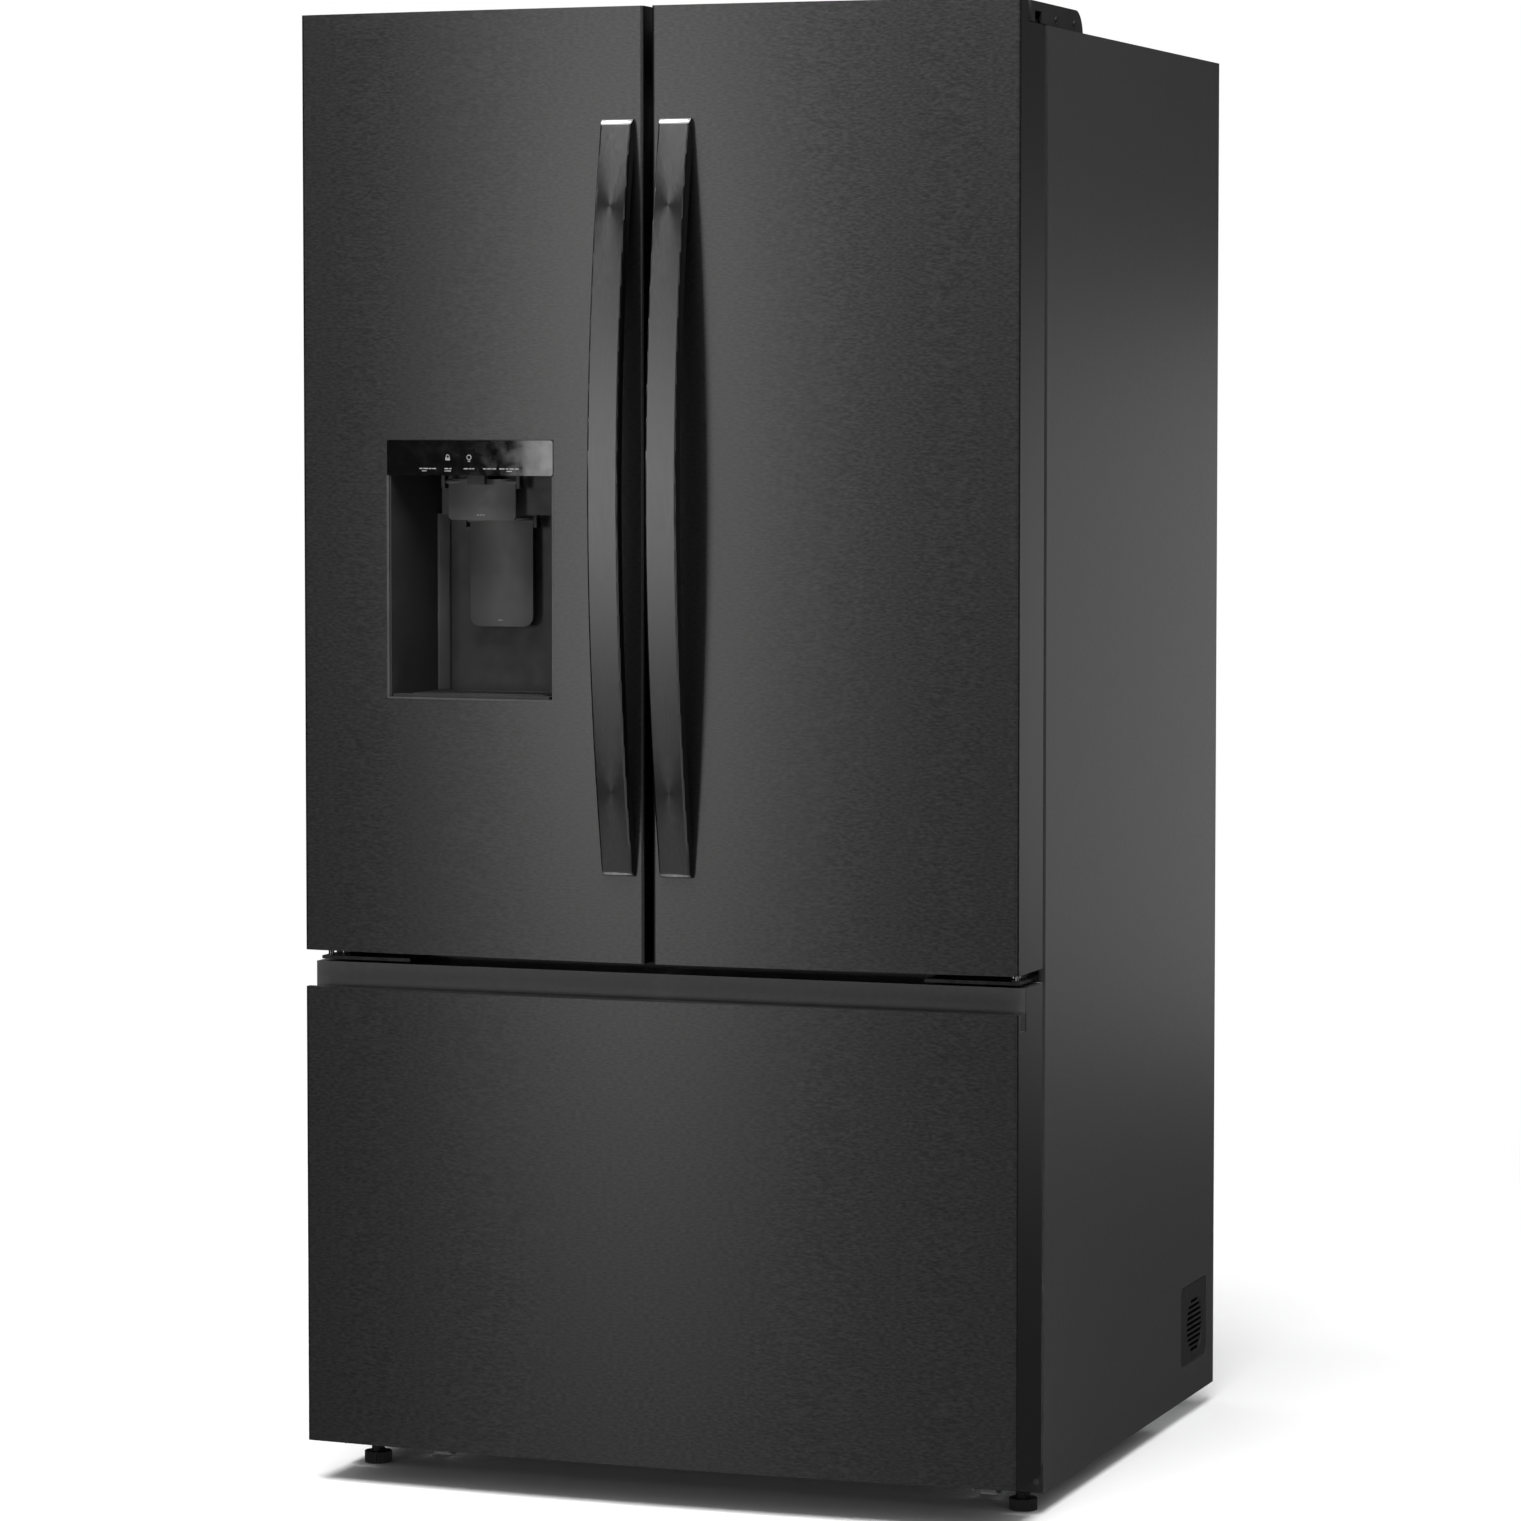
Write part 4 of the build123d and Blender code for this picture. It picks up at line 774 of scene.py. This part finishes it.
for side, name in ((1, "right"), (-1, "left")):
    x = span(f"{name}_crisper", X)
    middle = (x[0] + x[1]) / 2

    rim = Shape()
    lip_y = (CRISPER_FRONT - 4, CRISPER_FRONT + 3.5)
    rim.block((x[0] + 0.6, x[1] - 0.6), lip_y, (CRISPER_TOP - 12, CRISPER_TOP + 1.5), 1.6, 3)
    for rail in ((x[0] + 0.4, x[0] + 4.5), (x[1] - 4.5, x[1] - 0.4)):
        rim.block(rail, (CRISPER_FRONT + 3, CRISPER_BACK), (CRISPER_TOP - 1, CRISPER_TOP + 1.5), 0.8)
    rim.piece(f"{name}_crisper_rim", f"{name}_crisper", "grey_plastic")

    ribs = Shape()
    rib_y = (CRISPER_FRONT - 1.5, CRISPER_FRONT + 0.5)
    for i in range(-4, 5):
        centre = middle + i * RIB_PITCH
        ribs.block((centre - 2, centre + 2), rib_y, (724, CRISPER_TOP - 56), 0.8)
    ribs.piece(f"{name}_crisper_ribs", f"{name}_crisper", "clear_plastic")

    slider = Shape()
    slider_y = (COVER_FRONT - 2.4, COVER_FRONT + 0.5)
    slider.block((middle - 46, middle + 46), slider_y, (COVER_TOP - 8.5, COVER_TOP - 1.5), 1.0, 3)
    slider.piece(f"{name}_humidity_track", "cabinet", "grey_plastic", "panel_ink")

    knob = Shape()
    knob_y = (COVER_FRONT - 6, COVER_FRONT - 2)
    knob.block((middle + 8, middle + 24), knob_y, (COVER_TOP - 8, COVER_TOP - 2), 1.4, 3)
    knob.piece(f"{name}_humidity_knob", "cabinet", "white_liner")

# ---------------------------------------------------------------- door insides
BIN_X = span("right_door_bins", X)
BIN_BACK = span("right_door_bins", Y)[1]
BIN_Z = (975.0, 1200.0, 1425.0)
BIN_HEIGHT = 95.0
PANEL_BACK = at(98.5)

bands = Shape()
for level in BIN_Z:
    band_z = (level + BIN_HEIGHT - 13, level + BIN_HEIGHT - 3)
    bands.block((BIN_X[0] + 3, BIN_X[1] - 3), (BIN_BACK - 0.6, BIN_BACK + 1.4), band_z, 0.8)
bands.piece("bin_bands", "right_door", "chrome")

lugs = Shape()
ledge_y = (PANEL_BACK - 0.2, PANEL_BACK + 2.2)
for level in BIN_Z:
    for x in ((BIN_X[0] - 0.5, BIN_X[0] + 11), (BIN_X[1] - 11, BIN_X[1] + 0.5)):
        lugs.block(x, (PANEL_BACK, at(126)), (level - 9, level - 0.6), 1.6, 3)
    lugs.block((BIN_X[0] + 30, BIN_X[1] - 30), ledge_y, (level + 16, level + 26), 1.2, 3)
lugs.piece("bin_lugs", "right_door", "white_liner")

folds = Shape()
for level in BIN_Z:
    for centre in (BIN_X[0] + 62, (BIN_X[0] + BIN_X[1]) / 2, BIN_X[1] - 62):
        fold_z = (level + 6, level + BIN_HEIGHT - 20)
        folds.block((centre - 2, centre + 2), (BIN_BACK - 0.4, BIN_BACK + 1.0), fold_z, 0.5)
folds.piece("bin_ribs", "right_door", "clear_plastic")

ICE_X = span("ice_box", X)
ICE_Z = span("ice_box", Z)
ICE_BACK = span("ice_box", Y)[1]
ICE_MIDDLE = (ICE_X[0] + ICE_X[1]) / 2
SEAM_Y = (ICE_BACK - 0.5, ICE_BACK + 1.2)
SEAM_INSET = 14
SEAM_WIDTH = 3


def frame_bars(shape, x, z, y, width):
    """Four bars along the inside of a rectangle, the uprights first."""
    for low, high in ((x[0], x[0] + width), (x[1] - width, x[1])):
        shape.block((low, high), y, z, 0.5)
    for low, high in ((z[0], z[0] + width), (z[1] - width, z[1])):
        shape.block(x, y, (low, high), 0.5)


ice = Shape()
for x in (ICE_X[0] + SEAM_INSET, ICE_X[1] - SEAM_INSET - SEAM_WIDTH):
    ice.block((x, x + SEAM_WIDTH), SEAM_Y, (ICE_Z[0] + SEAM_INSET, ICE_Z[1] - SEAM_INSET), 0.5)
for z in (ICE_Z[0] + SEAM_INSET, ICE_Z[0] + 118, ICE_Z[1] - SEAM_INSET - SEAM_WIDTH):
    ice.block((ICE_X[0] + 16, ICE_X[1] - 16), SEAM_Y, (z, z + SEAM_WIDTH), 0.5)
ice.piece("ice_box_seams", "left_door", "white_liner")

latch = Shape()
latch.block((ICE_X[0] + 24, ICE_X[0] + 42), (ICE_BACK - 0.5, ICE_BACK + 5), (1470, 1530), 2.0, 3)
latch.disc(Y, 31, (ICE_BACK - 0.5, ICE_BACK + 2.2), (ICE_MIDDLE, ICE_Z[0] + 66), 0.8, 64)
grip_z = (ICE_Z[0] + 42, ICE_Z[0] + 90)
latch.block((ICE_MIDDLE - 5, ICE_MIDDLE + 5), (ICE_BACK + 1.5, ICE_BACK + 8), grip_z, 2.0, 3)
latch.piece("ice_latch_and_filter_cap", "left_door", "grey_plastic")

GASKETS = (
    ("left_door", (-428, -14), (670, 1730)),
    ("right_door", (14, 428), (670, 1730)),
    ("freezer_drawer", (-428, 428), (82, 618)),
)
LIP_Y = (at(100.2), at(101.8))
BEAD_Y = (at(108.6), at(109.8))
for body, x, z in GASKETS:
    lip = Shape()
    frame_bars(lip, (x[0] - 4, x[1] + 4), (z[0] - 4, z[1] + 4), LIP_Y, 5)
    frame_bars(lip, (x[0] + 6, x[1] - 6), (z[0] + 6, z[1] - 6), BEAD_Y, 4)
    lip.piece(f"{body}_gasket_lips", body, "gasket_rubber")

FLAP_X = span("mullion_flap", X)
FLAP_Y = span("mullion_flap", Y)
FLAP_Z = span("mullion_flap", Z)
strips = Shape()
for y in ((FLAP_Y[0] + 20, FLAP_Y[0] + 28), (FLAP_Y[1] - 14, FLAP_Y[1] - 6)):
    strips.block((FLAP_X[0] - 0.5, FLAP_X[0] + 0.6), y, (FLAP_Z[0] + 8, FLAP_Z[1] - 8), 0.4)
strips.piece("flap_strips", "mullion_flap", "gasket_rubber")

# ---------------------------------------------------------------- freezer drawer
BASKET_X = (-372.0, 372.0)
BASKET_Y = span("freezer_basket", Y)
BASKET_Z = span("freezer_basket", Z)
BASKET_RIB_Z = (BASKET_Z[0] + 22, BASKET_Z[1] - 34)
FRONT_PITCH = 42.0
SIDE_PITCH = 38.0

ribs = Shape()
for i in range(-8, 9):
    x = i * FRONT_PITCH
    for y in ((BASKET_Y[1] - 0.4, BASKET_Y[1] + 1.6), (BASKET_Y[0] - 1.6, BASKET_Y[0] + 0.4)):
        ribs.block((x - 3, x + 3), y, BASKET_RIB_Z, 0.9)
for x in both((BASKET_X[1] - 0.4, BASKET_X[1] + 1.6)):
    for i in range(11):
        y = BASKET_Y[0] + 35 + i * SIDE_PITCH
        ribs.block(x, (y - 3, y + 3), BASKET_RIB_Z, 0.9)
ribs.piece("basket_ribs", "freezer_drawer", "white_liner")

BRACKET_X = (374.0, 385.2)
brackets = Shape()
for plate, arm in zip(both(BRACKET_X), both((BRACKET_X[0] + 8, BRACKET_X[1]))):
    brackets.block(plate, (PANEL_BACK, PANEL_BACK + 3), (400, 500), 0.8)
    brackets.block(arm, (PANEL_BACK + 2, PANEL_BACK + 60), (434, 466), 0.8)
brackets.piece("slide_brackets", "freezer_drawer", "zinc_steel")
heads = Shape()
for side in (-1, 1):
    for z in (412, 488):
        heads.disc(Y, 3.6, (PANEL_BACK + 2.6, PANEL_BACK + 4.6), (side * 379.6, z), 0.6, 24)
heads.piece("bracket_screws", "freezer_drawer", "chrome")

# ---------------------------------------------------------------- machine compartment contents
DRIER = (-90, 448)
COMPRESSOR = (-265, 355)
WATER_PORT = (-400, 130)
RING_PITCH = 3.2
PIPES = (  # name, corner points, radius
    (
        "suction_pipe",
        ((-190, 340, 150), (-170, 330, 190), (-165, 300, 240), (-60, 285, 262),
         (-20, 285, 262), (0, 262, 280), (0, 250, 296)),
        4.0,
    ),
    (
        "discharge_pipe",
        ((-200, 385, 140), (-175, 400, 150), (-165, 440, 230), (-100, 448, 255),
         (-50, 445, 255), (-42, 436, 250)),
        3.2,
    ),
    (
        "capillary_loop",
        ((-44, 440, 60), (-60, 455, 50), (-80, 455, 60), (-90, 450, 90), (-90, 448, 130)),
        1.4,
    ),
)
for name, points, radius in PIPES:
    tube(name, "cabinet", "chrome", points, radius, "copper")
drier = Shape()
drier.disc(Z, 10, (130, 215), DRIER, 4.0, 36)
drier.piece("filter_drier", "cabinet", "chrome", "copper")

bolts = Shape()
for x in (-75, 75):
    for y in (-50, 50):
        bolts.disc(Z, 8.5, (49.2, 51.4), (COMPRESSOR[0] + x, COMPRESSOR[1] + y), 0.6, 6)
bolts.piece("compressor_bolts", "cabinet", "zinc_steel")

ports = Shape()
for i in range(3):
    front = BACK - 3.6 - RING_PITCH * i
    ports.disc(Y, 6.4, (front, front + 1.8), WATER_PORT, 0.5, 36, 5.25)
ports.piece("valve_threads", "cabinet", "grey_plastic")
